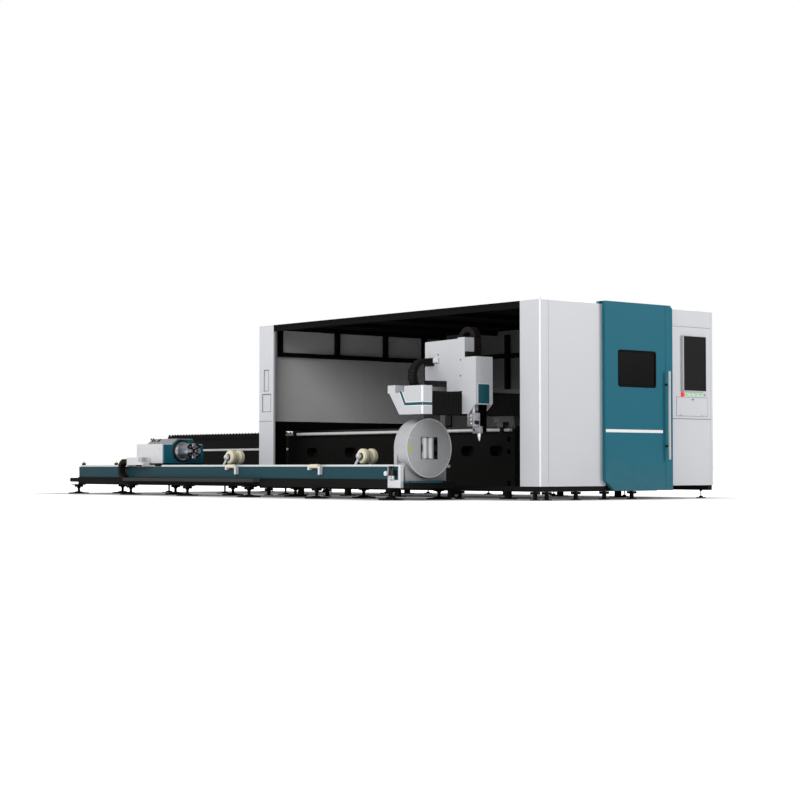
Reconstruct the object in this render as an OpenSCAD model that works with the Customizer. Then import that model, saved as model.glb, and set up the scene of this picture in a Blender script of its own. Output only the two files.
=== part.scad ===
// Laser cutting machine for sheet and tube: a cabin that is open along one side, a gantry with a
// cutting head, a shuttle table with a slatted pallet, and a tube bed with two chucks.
// The drawing datum is the cabin's near front corner on the floor: +X is towards the operator,
// -Y is towards the tube bed. place() then puts the origin under the middle of the machine.

/* [Cabin] */
// Length of the cabin
cabin_l = 5606; // [5400:1:5800]
// Width of the cabin
cabin_w = 3030; // [2950:1:3200]
// Height of the cabin above the floor
cabin_h = 2350; // [2300:1:2450]
// Height of the lower edge of the cabin panels
panel_z = 163; // [150:1:200]
// Thickness of the wall panels
wall_t = 40; // [30:1:60]
// Thickness of the roof sheet
roof_t = 25; // [15:1:40]
// Side of the square tubes of the cabin frame
tube_s = 60; // [40:1:80]
// Length of the near corner post along the cabin
near_post_l = 341; // [250:1:400]
// Width of the near corner post across the cabin
near_post_w = 134; // [100:1:180]
// Length of the left pillar along the cabin
left_pillar_l = 335; // [320:1:450]
// Thickness of the left pillar
left_pillar_t = 30; // [25:1:60]
// Height of the lower edge of the end wall
end_wall_z = 1030; // [950:1:1100]
// Width of the pallet opening
pallet_opening_w = 2150; // [2000:1:2250]
// Height of the base bars under the cabin
base_h = 63; // [40:1:90]
// Depth of the wall rails below the cabin's top
wall_rail_drop = 415; // [380:1:550]

/* [Door] */
// Distance of the door from the cabin's near side
door_y = 1030; // [950:1:1060]
// Width of the door leaf
door_w = 1190; // [1150:1:1250]
// Height of the door's lower edge
door_z = 106; // [90:1:130]
// Thickness of the door leaf
door_t = 50; // [35:1:70]
// Gap between the wall and the door leaf
door_gap = 6; // [4:1:10]
// Overlap of the door on each side of the doorway
door_lap = 50; // [30:1:70]
// Height of the door's top above the roof
door_rise = 35; // [30:1:50]
// Depth of the flange that folds back over the roof
door_flange = 110; // [80:1:140]
// Thickness of the folded sheet
sheet_t = 4; // [2:1:6]
// Height of the header over the doorway
header_h = 150; // [100:1:250]
// Width of the door window
window_w = 648; // [500:1:700]
// Height of the door window
window_h = 425; // [350:1:500]
// Height of the window's lower edge
window_z = 1370; // [1300:1:1450]
// Length of the door handle
handle_l = 1086; // [800:1:1200]
// Distance of the handle bar from the door leaf
handle_gap = 45; // [35:1:60]

/* [Console] */
// Depth of the operator cabinet behind its front plate
console_d = 260; // [200:1:300]
// Margin of the console on each side of the monitor
monitor_margin = 190; // [175:1:210]
// Height of the monitor
monitor_h = 700; // [600:1:720]
// Height of the monitor's lower edge
monitor_z = 1335; // [1325:1:1380]
// Depth of the monitor's bezel
monitor_d = 34; // [20:1:50]
// Margin of the console on each side of the keyboard flap
flap_margin = 117; // [95:1:150]
// Height of the keyboard flap
flap_h = 230; // [180:1:240]
// Height of the flap's hinge edge
flap_z = 1031; // [1010:1:1040]
// Thickness of the keyboard flap
flap_t = 18; // [12:1:24]
// Depth of the keyboard pocket
pocket_d = 100; // [60:1:150]
// Height of the row of push buttons
button_z = 1296; // [1290:1:1300]
// Radius of the push buttons
button_r = 11; // [8:1:14]
// Travel of a push button
button_travel = 4; // [3:1:6]
// Travel of the emergency stop
estop_travel = 8; // [6:1:10]

/* [Sheet bed] */
// Clear width between the bed walls
bed_inner_w = 1790; // [1770:1:1850]
// Width of a bed wall
bed_wall_w = 150; // [120:1:180]
// Height of the bed walls
bed_top = 845; // [830:1:860]
// Height of the bed walls' lower edge
bed_bottom = 150; // [130:1:180]
// Distance of the bed's front end from the cabin's front
bed_front = 930; // [900:1:960]
// Gap between the bed's rear end and the end wall
bed_rear_gap = 6; // [5:1:20]
// Height of the linear rails
rail_h = 50; // [40:1:60]
// Width of the linear rails
rail_w = 45; // [35:1:55]
// Radius of the guard rod
rod_r = 21; // [15:1:25]
// Height of the pallet runway
runway_z = 600; // [580:1:620]
// Width of the pallet runway
runway_w = 70; // [60:1:80]

/* [Exchange table] */
// Length of the pallet
pallet_l = 3290; // [3000:1:3310]
// Clearance on each side of the pallet
pallet_gap = 20; // [15:1:30]
// Height of the comb tips
comb_top = 890; // [880:1:900]
// Pitch of the comb teeth
comb_pitch = 78; // [70:1:90]
// Height of the comb teeth
comb_tooth = 46; // [36:1:50]
// Thickness of a comb
comb_t = 20; // [12:1:24]
// Thickness of a slat
slat_t = 5; // [3:1:8]
// Pitch of the teeth along a slat
slat_tooth_pitch = 95; // [80:1:120]
// Height of the exchange frame's sides
exchange_top = 790; // [760:1:800]
// Width of the exchange frame's sides
exchange_side_w = 75; // [60:1:100]

/* [Gantry] */
// Distance of the beam's front face from the cabin's front
beam_front = 910; // [900:1:930]
// Depth of the beam
beam_d = 380; // [340:1:400]
// Height of the beam's lower face
beam_z = 1012; // [1008:1:1020]
// Height of the beam
beam_h = 258; // [240:1:262]
// Reach of the beam beyond the cabin's near side
beam_reach = 1060; // [1040:1:1100]
// Thickness of the bellows in front of the beam
bellows_t = 26; // [20:1:30]
// Pitch of the bellows' pleats
pleat = 24; // [18:1:36]
// Width of the chain channel behind the beam
channel_w = 140; // [136:1:150]
// Height of the chain channel
channel_h = 96; // [85:1:105]
// Length of the near end cover along the beam
end_cover_l = 150; // [130:1:160]

/* [Head] */
// Distance of the nozzle from the cabin's near side at rest
head_out = 310; // [300:1:330]
// Width of the head cover
cover_w = 268; // [250:1:280]
// Distance of the cover's front from the cabin's front
cover_front = 623; // [610:1:640]
// Height of the cover's lower edge
cover_z = 1020; // [1015:1:1030]
// Height of the cover's front part
cover_front_top = 1692; // [1650:1:1720]
// Height of the cover's rear part
cover_rear_top = 1900; // [1880:1:1910]
// Distance of the cover's rear from the cabin's front
cover_rear = 1538; // [1500:1:1560]
// Thickness of the cover's walls
cover_t = 15; // [8:1:16]
// Height of the nozzle tip at rest
nozzle_z = 698; // [690:1:720]
// Distance of the nozzle from the cabin's front
nozzle_front = 712; // [705:1:720]

/* [Tube bed] */
// Distance of the tube axis from the cabin's near side
tube_out = 710; // [700:1:740]
// Height of the tube axis
tube_z = 615; // [610:1:640]
// Overall width of the tube bed
tube_bed_w = 700; // [690:1:720]
// Width of each side beam
side_beam_w = 170; // [150:1:172]
// Height of the side beams' top
side_beam_top = 396; // [390:1:402]
// Height of the joint between the base and the side beams
side_beam_z = 246; // [240:1:250]
// Height of the base's lower face
tube_base_z = 140; // [130:1:150]
// Distance of the side beams' far end from the cabin's front
tube_bed_far = 8690; // [8600:1:8720]
// Distance of the side beams' near end from the cabin's front
tube_bed_near = 1430; // [1415:1:1445]
// Length of the base bar that stands out past the side beams
stub_l = 270; // [240:1:300]
// Height of the rails on the side beams
tube_rail_h = 24; // [18:1:30]
// Pitch of the levelling feet
foot_pitch = 1449; // [1400:1:1460]
// Radius of a levelling foot's pad
pad_r = 150; // [120:1:160]
// Radius of the support rollers
roller_r = 95; // [85:1:98]
// Length of the support rollers
roller_l = 210; // [190:1:230]
// Length of the swing arms
arm_l = 250; // [240:1:260]
// Height of the swing arms' pivots
arm_pivot_z = 330; // [325:1:335]
// Radius of the pivot shafts
arm_shaft_r = 15; // [12:1:18]
// Height that a raised roller's axle stands above its pivot
arm_lift = 193; // [185:1:200]

/* [Front chuck] */
// Radius of the rotor disc
rotor_r = 353; // [345:1:354]
// Thickness of the rotor disc
rotor_t = 180; // [160:1:190]
// Distance of the rotor's face from the cabin's front
rotor_front = 1154; // [1150:1:1170]
// Side of the square opening in the rotor
rotor_open = 270; // [260:1:280]
// Thickness of the headstock plate
headstock_t = 52; // [45:1:70]
// Radius of the jaw rollers
jaw_roller_r = 40; // [34:1:41]
// Distance of a closed jaw roller's axis from the tube axis
jaw_roller_at = 45; // [43:1:46]

/* [Rear chuck] */
// Distance of the face plate's front from the cabin's front
face_plate_front = 6470; // [6450:1:6490]
// Thickness of the face plate
face_plate_t = 26; // [20:1:40]
// Length of the carriage behind the face plate
carriage_l = 670; // [600:1:700]
// Radius of the chuck barrel
barrel_r = 107; // [100:1:112]
// Length of the chuck barrel in front of the face plate
barrel_l = 300; // [280:1:305]
// Width of a chuck jaw
jaw_w = 34; // [28:1:40]
// Travel of the chuck jaws
jaw_travel = 20; // [12:1:22]

/* [Hidden] */
$fn = 64;
// Running clearance of shafts in bores
run_gap = 0.05;
// Clearance of sliding faces
slide_gap = 1;
// Depth by which a cutter passes its face
cut = 5;
// Width and depth of the pressed panel seams
seam_w = 5;
seam_d = 3;

// Overall reach of the machine, for the middle of the frame
handle_bar = 24;
x_high = door_gap + door_t + handle_gap + handle_bar;
x_low = -tube_bed_far - stub_l;
foot_out = 25;
y_low = -tube_out - tube_bed_w / 2 - foot_out - pad_r;
y_high = cabin_w;

// Cabin
inner_x = -cabin_l + wall_t;
inner_y = cabin_w - wall_t;
roof_z = cabin_h - roof_t;
mid_y = cabin_w / 2;
doorway_y0 = door_y + door_lap;
doorway_y1 = door_y + door_w - door_lap;
door_x = door_gap;
door_face = door_gap + door_t;
door_top = cabin_h + door_rise;
seam_gap = 2;
wall_rail_z = cabin_h - wall_rail_drop;
doorway_h = cabin_h - header_h;
lintel_gap = 15;
opening_top = comb_top + lintel_gap;

// Console
console_w = cabin_w - door_y - door_w;
console_shift = 20;
console_mid = cabin_w - console_w / 2 + console_shift;
monitor_w = console_w - 2 * monitor_margin;
flap_w = console_w - 2 * flap_margin;
button_pitch = 0.1037 * console_w;
button_first_y = console_mid - 1.155 * button_pitch;
estop_y = button_first_y - button_pitch;
// Hinge of the keyboard flap
hinge_x = 9;
hinge_z = flap_z + 5;
hinge_r = 6;
hinge_l = 30;
stem_r = 7;
stem_l = 24;

// Sheet bed
bed_x0 = inner_x + bed_rear_gap;
bed_x1 = -bed_front;
bed_y0 = mid_y - bed_inner_w / 2;
bed_y1 = mid_y + bed_inner_w / 2;
x_rail_y = [bed_y0 - bed_wall_w / 2, bed_y1 + bed_wall_w / 2];
rail_top = bed_top + rail_h;
rod_y = bed_y0 - bed_wall_w - 2 * rod_r;
rod_z = bed_top;

// Exchange table
exchange_gap = 19;
exchange_x1 = -cabin_l - exchange_gap;
exchange_x0 = exchange_x1 - pallet_l - 35;
pallet_x1 = exchange_x1 - 15;
pallet_x0 = pallet_x1 - pallet_l;
pallet_y0 = bed_y0 + pallet_gap;
pallet_y1 = bed_y1 - pallet_gap;

// Gantry, in the datum frame
beam_x1 = -beam_front;
beam_x0 = beam_x1 - beam_d;
beam_y0 = -beam_reach + end_cover_l;
beam_y1 = bed_y1 + bed_wall_w + 60;
beam_top = beam_z + beam_h;
y_rail_t = 14;
bellows_x = beam_x1 + y_rail_t + slide_gap;
bellows_front = bellows_x + bellows_t;
channel_x1 = beam_x0 - 73;
channel_x0 = channel_x1 - channel_w;
channel_z = beam_top - 8;
channel_top = channel_z + channel_h;

// Head
head_y = -head_out;
cover_y0 = head_y - cover_w / 2;
cover_y1 = head_y + cover_w / 2;
cover_back = bellows_front + 3;
lift_w = 100;
lift_y0 = cover_y1 - 10 - lift_w;

// Chains
chain_t = 50;
chain_gap = 9;
beam_chain_r = 185;
beam_chain_w = 110;
beam_chain_x = channel_x0 + (channel_w - beam_chain_w) / 2;
beam_chain_y = head_y - 240;
beam_chain_z = channel_z + sheet_t + chain_gap + chain_t / 2 + beam_chain_r;
lift_chain_r = 122;
lift_chain_x = -835 - lift_chain_r;
lift_chain_z = cover_rear_top + 18;

// Tube bed
tube_y = -tube_out;
tube_near_y = tube_y - tube_bed_w / 2;
tube_far_y = tube_y + tube_bed_w / 2;
tube_x0 = -tube_bed_far;
tube_x1 = -tube_bed_near;
tube_rail_top = side_beam_top + tube_rail_h;
tube_base_x1 = -rotor_front + 60;
base_lip = 15;
tray_d = 105;
tray_z = 196;
tray_y0 = tube_near_y - base_lip - tray_d;
tray_y1 = tube_near_y - base_lip;
arm_reach_up = sqrt(arm_l * arm_l - arm_lift * arm_lift);
support_at = [0.5153, 0.2658, 0.1226];
support_x = [for (f = support_at) tube_x1 - f * (tube_x1 - tube_x0)];
support_up = [true, false, true];
arm_t = 15;

// Chucks
rotor_x1 = -rotor_front;
rotor_x0 = rotor_x1 - rotor_t;
headstock_gap = 2;
headstock_x1 = rotor_x0 - headstock_gap;
headstock_x0 = headstock_x1 - headstock_t;
hub_r = 200;
headstock_z = 226;
plate_x1 = -face_plate_front;
plate_x0 = plate_x1 - face_plate_t;
carriage_x0 = plate_x0 - carriage_l;
carriage_y0 = tube_near_y + 45;
carriage_y1 = tube_far_y + 20;
carriage_z = tube_rail_top + slide_gap;
carriage_plate_t = 24;
carriage_top = carriage_z + carriage_plate_t;
carriage_shoulder = 714;
plate_inset = 12;
spindle_r = 60;
barrel_gap = 1;
barrel_x0 = plate_x1 + barrel_gap;
barrel_x1 = barrel_x0 + barrel_l;

// Chain of the rear carriage: its lower run lies in the tray, its upper run enters the carriage's box
bed_chain_t = 60;
bed_chain_w = 90;
bed_chain_x = carriage_x0 - 106;
bed_tail_z = carriage_top + 28;
bed_run_z = tray_z + sheet_t + chain_gap + bed_chain_t / 2;
bed_chain_r = (bed_tail_z - bed_run_z) / 2;
bed_chain_z = (bed_tail_z + bed_run_z) / 2;

// Colours
panel_white = [0.82, 0.83, 0.84];
frame_black = [0.10, 0.10, 0.11];
teal = [0.10, 0.38, 0.46];
steel = [0.75, 0.76, 0.78];
chuck_grey = [0.52, 0.53, 0.54];
cream = [0.88, 0.83, 0.64];

// Moves the drawing datum so that the origin is under the middle of the machine
module place() {
    translate([-(x_low + x_high) / 2, -(y_low + y_high) / 2, 0]) children();
}

// Block between two opposite corners
module block(low, high) {
    translate(low) cube(high - low);
}

// Profile drawn in Y and Z, extruded along +X from x
module along_x(x, length) {
    translate([x, 0, 0]) rotate([90, 0, 90]) linear_extrude(length) children();
}

// Profile drawn in X and Z, extruded along +Y from y
module along_y(y, length) {
    translate([0, y + length, 0]) rotate([90, 0, 0]) linear_extrude(length) children();
}

// Cylinder along +X or +Y
module rod_x(x, y, z, r, length) {
    translate([x, y, z]) rotate([0, 90, 0]) cylinder(r = r, h = length);
}
module rod_y(x, y, z, r, length) {
    translate([x, y, z]) rotate([-90, 0, 0]) cylinder(r = r, h = length);
}

// Rectangle with round corners, from its lower left corner
module round_rect(w, h, r) {
    translate([r, 0]) square([w - 2 * r, h]);
    translate([0, r]) square([w, h - 2 * r]);
    for (x = [r, w - r], y = [r, h - r]) translate([x, y]) circle(r);
}

// Slot with round ends, centred
module slot_2d(w, h) {
    square([w - h, h], center = true);
    for (s = [-1, 1]) translate([s * (w - h) / 2, 0]) circle(h / 2);
}

// Links of a drag chain along an arc that starts at angle a0, in the plane of X and Y
module chain_arc(r, width, a0, angle, t) {
    links = round(angle * PI / 180 * r / 58);
    step = angle / links;
    link_l = 0.82 * step * PI / 180 * r;
    rotate(a0) rotate_extrude(angle = angle)
        translate([r - 0.3 * t, 0.1 * width]) square([0.6 * t, 0.8 * width]);
    for (i = [0:links - 1])
        rotate(a0 + (i + 0.5) * step) translate([r - t / 2, -link_l / 2, 0]) cube([t, link_l, width]);
}

// Knuckle of the flap's hinge, with the leaf that ties it to its sheet
module knuckle(y, length, leaf_x, leaf_low, leaf_high) {
    rod_y(hinge_x, y, hinge_z, hinge_r, length);
    block([leaf_x, y, leaf_low], [hinge_x, y + length, leaf_high]);
}

// Cabin

module roof() {
    post_x = -near_post_l;
    pillar_x = -cabin_l + left_pillar_l;
    place() color(frame_black) translate([0, 0, roof_z]) linear_extrude(roof_t)
        polygon([[inner_x, left_pillar_t], [pillar_x, left_pillar_t], [pillar_x, 0], [post_x, 0],
            [post_x, near_post_w], [-wall_t, near_post_w], [-wall_t, inner_y], [inner_x, inner_y]]);
}

module cabin_frame() {
    gap = 1;
    eave_y = 5;
    far_y = inner_y - gap;
    beam_z0 = roof_z - tube_s;
    roof_beams = 5;
    first_beam_x = -near_post_l - 350;
    beam_step = (cabin_l - near_post_l - left_pillar_l - 500) / (roof_beams - 1);
    rail_top_z = wall_rail_z + tube_s;
    end_post_at = [0.0921, 0.4257, 0.7211];
    end_post_y = [for (f = end_post_at) f * cabin_w, far_y - tube_s];
    far_post_at = [0.892, 0.669, 0.378];
    skirt_w = mid_y - pallet_opening_w / 2 - left_pillar_t;
    place() color(frame_black) {
        // Eave tube over the open side, and the roof beams that run back from it
        block([-cabin_l + left_pillar_l, eave_y, beam_z0], [-near_post_l, eave_y + tube_s, roof_z]);
        for (i = [0:roof_beams - 1])
            translate([first_beam_x - i * beam_step, eave_y + tube_s + gap, beam_z0])
                cube([tube_s, far_y - eave_y - tube_s - gap, tube_s]);
        // End wall tubes
        block([inner_x, end_post_y[0], wall_rail_z], [inner_x + tube_s, far_y, rail_top_z]);
        for (y = end_post_y)
            block([inner_x, y, rail_top_z + gap], [inner_x + tube_s, y + tube_s, roof_z]);
        // Far wall tubes
        block([inner_x + tube_s + gap, far_y - tube_s, wall_rail_z],
            [-wall_t - console_d - gap, far_y, rail_top_z]);
        for (f = far_post_at, z = [[panel_z, wall_rail_z - gap], [rail_top_z + gap, beam_z0 - gap]])
            block([-f * cabin_l, far_y - tube_s, z[0]], [-f * cabin_l + tube_s, far_y, z[1]]);
        // Skirts on each side of the pallet opening, and the lintel between them
        for (y = [left_pillar_t, far_y - skirt_w])
            block([-cabin_l, y, panel_z], [inner_x, y + skirt_w, end_wall_z]);
        block([-cabin_l, left_pillar_t + skirt_w + gap, opening_top],
            [inner_x, far_y - skirt_w - gap, end_wall_z]);
    }
}

module far_wall() {
    panels = 5;
    place() color(panel_white) difference() {
        block([-cabin_l, inner_y, panel_z], [0, cabin_w, cabin_h]);
        for (i = [1:panels - 1])
            translate([-i * cabin_l / panels, cabin_w - seam_d, panel_z - cut])
                cube([seam_w, seam_d + cut, cabin_h - panel_z + 2 * cut]);
    }
}

module end_wall() {
    seam_y = 0.5875 * cabin_w;
    place() color(panel_white) difference() {
        block([-cabin_l, left_pillar_t, end_wall_z], [inner_x, inner_y, cabin_h]);
        translate([inner_x - seam_d, seam_y, end_wall_z - cut])
            cube([seam_d + cut, seam_w, wall_rail_z - end_wall_z]);
    }
}

module corner_posts() {
    corner_r = 14;
    recess_d = 12;
    seam_z = 1024;
    slot_x = [114, 220];
    slot_z = [1445, 1733];
    hatch_x = [75, 272];
    hatch_z = [1157, 1398];
    place() color(panel_white) {
        // Near corner post with a rounded outer edge
        translate([0, 0, panel_z]) linear_extrude(cabin_h - panel_z) {
            translate([-near_post_l, 0]) square([near_post_l - corner_r, near_post_w]);
            translate([-corner_r, corner_r]) square([corner_r, near_post_w - corner_r]);
            translate([-corner_r, corner_r]) circle(corner_r);
        }
        // Left pillar with a slim recess and a square hatch
        translate([-cabin_l, 0, 0]) difference() {
            block([0, 0, panel_z], [left_pillar_l, left_pillar_t, cabin_h]);
            block([slot_x[0], -cut, slot_z[0]], [slot_x[1], recess_d, slot_z[1]]);
            block([hatch_x[0], -cut, hatch_z[0]], [hatch_x[1], recess_d, hatch_z[1]]);
            block([-cut, -cut, seam_z], [left_pillar_l + cut, seam_d, seam_z + seam_w]);
        }
    }
}

module front_wall() {
    place() color(panel_white) {
        block([-wall_t, near_post_w, panel_z], [0, doorway_y0, cabin_h]);
        block([-wall_t, doorway_y0 + seam_gap, doorway_h], [0, doorway_y1 - seam_gap, cabin_h]);
    }
}

module operator_console() {
    back_drop = 207;
    back_top = cabin_h - back_drop;
    back_bottom = 900;
    lower_seam = 993;
    hole_gap = 0.5;
    hole_d = stem_l + button_travel + estop_travel;
    leaf_h = 7;
    place() color(panel_white) {
        difference() {
            union() {
                block([-wall_t, doorway_y1, panel_z], [0, inner_y, cabin_h]);
                block([-wall_t - console_d, doorway_y1, back_bottom], [-wall_t, inner_y, back_top]);
            }
            // Keyboard pocket behind the flap
            block([-pocket_d, console_mid - flap_w / 2 - slide_gap, flap_z],
                [cut, console_mid + flap_w / 2 + slide_gap, flap_z + flap_h + slide_gap]);
            // Pressed seams
            for (z = [lower_seam, back_top])
                block([-seam_d, door_y + door_w, z], [cut, inner_y + cut, z + seam_w]);
            // Bores of the buttons' stems
            for (y = [estop_y, for (i = [0:3]) button_first_y + i * button_pitch])
                rod_x(-hole_d, y, button_z, stem_r + hole_gap, hole_d + cut);
        }
        // Outer knuckles of the flap's two hinges
        for (s = [-1, 1], y = [-hinge_l - slide_gap, hinge_l / 2 + slide_gap])
            knuckle(console_mid + s * flap_w / 3 + y, hinge_l / 2, -sheet_t, flap_z - leaf_h, flap_z);
    }
}

module monitor() {
    side = 25;
    foot = 14;
    glass_d = 3;
    place() color(steel) difference() {
        along_x(0, monitor_d) translate([console_mid - monitor_w / 2 + 15, monitor_z])
            round_rect(monitor_w, monitor_h, 12);
        along_x(monitor_d - glass_d, glass_d + cut)
            translate([console_mid - monitor_w / 2 + 15 + side, monitor_z + foot])
                square([monitor_w - 2 * side, monitor_h - 2 * foot]);
    }
}

module base_frame() {
    bar_w = 80;
    gap = 1;
    inset = 10;
    front_end = 2000;
    z0 = panel_z - base_h;
    place() color(frame_black) {
        block([-cabin_l, inset, z0], [-inset, inset + bar_w, panel_z]);
        block([-inset - bar_w, inset + bar_w + gap, z0], [-inset, front_end, panel_z]);
        block([-cabin_l, cabin_w - inset - bar_w, z0], [-inset, cabin_w - inset, panel_z]);
        block([-cabin_l, inset + bar_w + gap, z0],
            [-cabin_l + bar_w, mid_y - pallet_opening_w / 2, panel_z]);
        block([-cabin_l, mid_y + pallet_opening_w / 2, z0],
            [-cabin_l + bar_w, cabin_w - inset - bar_w - gap, panel_z]);
    }
}

// Levelling foot: a flat pad, a stem and a nut plate under the surface at height top
module foot(top, r) {
    pad_h = 12;
    step_h = 28;
    stem = 0.12 * r;
    plate_h = 12;
    cylinder(r = r, h = pad_h);
    cylinder(r = 0.42 * r, h = step_h);
    cylinder(r = stem, h = top);
    translate([0, 0, top - plate_h]) cylinder(r = 2.5 * stem, h = plate_h);
}

module machine_feet() {
    cabin_foot_r = 60;
    bed_foot_r = 110;
    plate = [180, 120, 12];
    base_z = panel_z - base_h;
    first_x = -tube_bed_near + 20;
    front_feet = 4;
    front_pitch = 480;
    side_feet = 5;
    side_pitch = (cabin_l - 300) / (side_feet - 1);
    bed_feet = 5;
    bed_pitch = (bed_x1 - bed_x0 - 400) / (bed_feet - 1);
    exchange_feet = 3;
    exchange_pitch = (exchange_x1 - exchange_x0 - 300) / (exchange_feet - 1);
    place() color(frame_black) {
        for (i = [0:5], y = [tube_near_y - foot_out, tube_far_y + foot_out])
            translate([first_x - i * foot_pitch, y, 0]) {
                foot(tube_base_z, pad_r);
                translate([-plate[0] / 2, -plate[1] / 2, tube_base_z - plate[2]]) cube(plate);
            }
        for (i = [0:front_feet - 1]) translate([-50, 150 + i * front_pitch, 0]) foot(base_z, cabin_foot_r);
        for (i = [0:side_feet - 1], y = [cabin_foot_r, cabin_w - cabin_foot_r])
            translate([-150 - i * side_pitch, y, 0]) foot(base_z, cabin_foot_r);
        for (i = [0:bed_feet - 1], y = x_rail_y)
            translate([bed_x1 - 200 - i * bed_pitch, y, 0]) foot(bed_bottom, bed_foot_r);
        for (i = [0:exchange_feet - 1], s = [0, 1])
            translate([exchange_x1 - 150 - i * exchange_pitch,
                s == 0 ? bed_y0 - exchange_side_w / 2 : bed_y1 + exchange_side_w / 2, 0])
                foot(bed_bottom, bed_foot_r);
    }
}

// Sheet bed

module bed_walls() {
    hole_at = [0.0713, 0.1857, 0.3175, 0.4471, 0.6976, 0.8812];
    hole_x = [for (f = hole_at) bed_x1 - f * (bed_x1 - bed_x0)];
    hole_z = 590;
    hole_w = 245;
    hole_h = 130;
    hole_d = 110;
    square_hole = 58;
    square_x = bed_x1 - 105;
    square_z = [bed_bottom + 40, bed_bottom + 429, bed_bottom + 578];
    bracket_x = [bed_x0 + 240, bed_x1 - 160];
    bracket_w = 60;
    place() color(frame_black) {
        for (s = [0, 1]) {
            y0 = s == 0 ? bed_y0 - bed_wall_w : bed_y1;
            outer = s == 0 ? y0 - cut : y0 + bed_wall_w - hole_d;
            difference() {
                block([bed_x0, y0, bed_bottom], [bed_x1, y0 + bed_wall_w, bed_top]);
                for (x = hole_x) translate([x, 0, hole_z]) along_y(outer, hole_d + cut) slot_2d(hole_w, hole_h);
                for (z = square_z) translate([square_x, 0, z]) along_y(outer, hole_d + cut)
                    square(square_hole, center = true);
            }
        }
        // Brackets that carry the guard rod
        for (x = bracket_x) difference() {
            block([x - bracket_w / 2, rod_y - rod_r - 8, rod_z - rod_r - 10],
                [x + bracket_w / 2, bed_y0 - bed_wall_w, rod_z + rod_r + 10]);
            rod_x(x - bracket_w, rod_y, rod_z, rod_r + run_gap, 2 * bracket_w);
        }
    }
}

module bed_cross() {
    bars = 5;
    bar_w = 120;
    end_in = 50;
    lift = 50;
    bar_h = 220;
    pitch = (bed_x1 - bed_x0 - bar_w - 2 * end_in) / (bars - 1);
    place() color(frame_black) for (i = [0:bars - 1])
        translate([bed_x0 + end_in + i * pitch, bed_y0, bed_bottom + lift]) cube([bar_w, bed_inner_w, bar_h]);
}

module guide_rails() {
    end_gap = 30;
    runway_t = 40;
    track_w = 20;
    track_h = door_rise - sheet_t - 6;
    guide_r = 17;
    guide_y = bed_y0 - exchange_side_w - guide_r;
    guide_z = 643;
    guide_x0 = exchange_x0 + 1000;
    tube_rail_w = 40;
    tube_rail_in = 20;
    place() color(steel) {
        // Rails of the gantry, and the guard rod beside them
        for (y = x_rail_y) block([bed_x0 + end_gap, y - rail_w / 2, bed_top], [bed_x1 - 2, y + rail_w / 2, rail_top]);
        rod_x(bed_x0 + 20, rod_y, rod_z, rod_r, bed_x1 - bed_x0 - 40);
        // Runways of the pallet, in the bed and on the exchange frame
        for (y = [bed_y0, bed_y1 - runway_w]) {
            block([bed_x0 + end_gap, y, runway_z - runway_t], [bed_x1 - end_gap, y + runway_w, runway_z]);
            block([exchange_x0 + end_gap, y, runway_z - runway_t],
                [exchange_x1 - 2, y + runway_w, runway_z]);
        }
        // Bright rod along the exchange frame
        rod_x(guide_x0, guide_y, guide_z, guide_r, exchange_x1 - guide_x0);
        // Rails of the tube bed
        for (y = [tube_near_y + tube_rail_in, tube_far_y - tube_rail_in - tube_rail_w])
            block([tube_x0 + 10, y, side_beam_top], [tube_x1 - 10, y + tube_rail_w, tube_rail_top]);
        // Track of the sliding door
        block([-wall_t + 10, left_pillar_t, cabin_h], [-wall_t + 10 + track_w, door_y + door_w - 5, cabin_h + track_h]);
    }
}

module exchange_frame() {
    legs = 5;
    leg_w = 100;
    plate_z = 400;
    gap = 1;
    bar_h = 80;
    leg_pitch = (exchange_x1 - exchange_x0 - leg_w) / (legs - 1);
    place() color(frame_black) {
        for (y = [bed_y0 - exchange_side_w, bed_y1]) {
            block([exchange_x0, y, plate_z], [exchange_x1, y + exchange_side_w, exchange_top]);
            for (i = [0:legs - 1]) translate([exchange_x0 + i * leg_pitch, y, bed_bottom])
                cube([leg_w, exchange_side_w, plate_z - bed_bottom]);
            block([exchange_x0, y, bed_bottom], [exchange_x1, y + exchange_side_w, bed_bottom + bar_h]);
        }
        for (i = [0, 2, 4]) translate([exchange_x0 + i * leg_pitch, bed_y0 + gap, plate_z])
            cube([leg_w, bed_inner_w - 2 * gap, bar_h]);
    }
}

// Comb with pointed teeth along its top edge
module comb_2d(length, low, high) {
    teeth = floor(length / comb_pitch);
    pitch = length / teeth;
    polygon([[0, low], [length, low],
        for (i = [0:teeth - 1]) each [[length - i * pitch, high - comb_tooth],
            [length - (i + 0.5) * pitch, high]], [0, high - comb_tooth]]);
}

// Slat with pointed teeth along its top edge, drawn along Y
module slat_2d(length, low, high) {
    teeth = floor(length / slat_tooth_pitch);
    pitch = length / teeth;
    tooth = 26;
    polygon([[0, low], [length, low],
        for (i = [0:teeth - 1]) each [[length - i * pitch, high - tooth],
            [length - (i + 0.5) * pitch, high]], [0, high - tooth]]);
}

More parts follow.
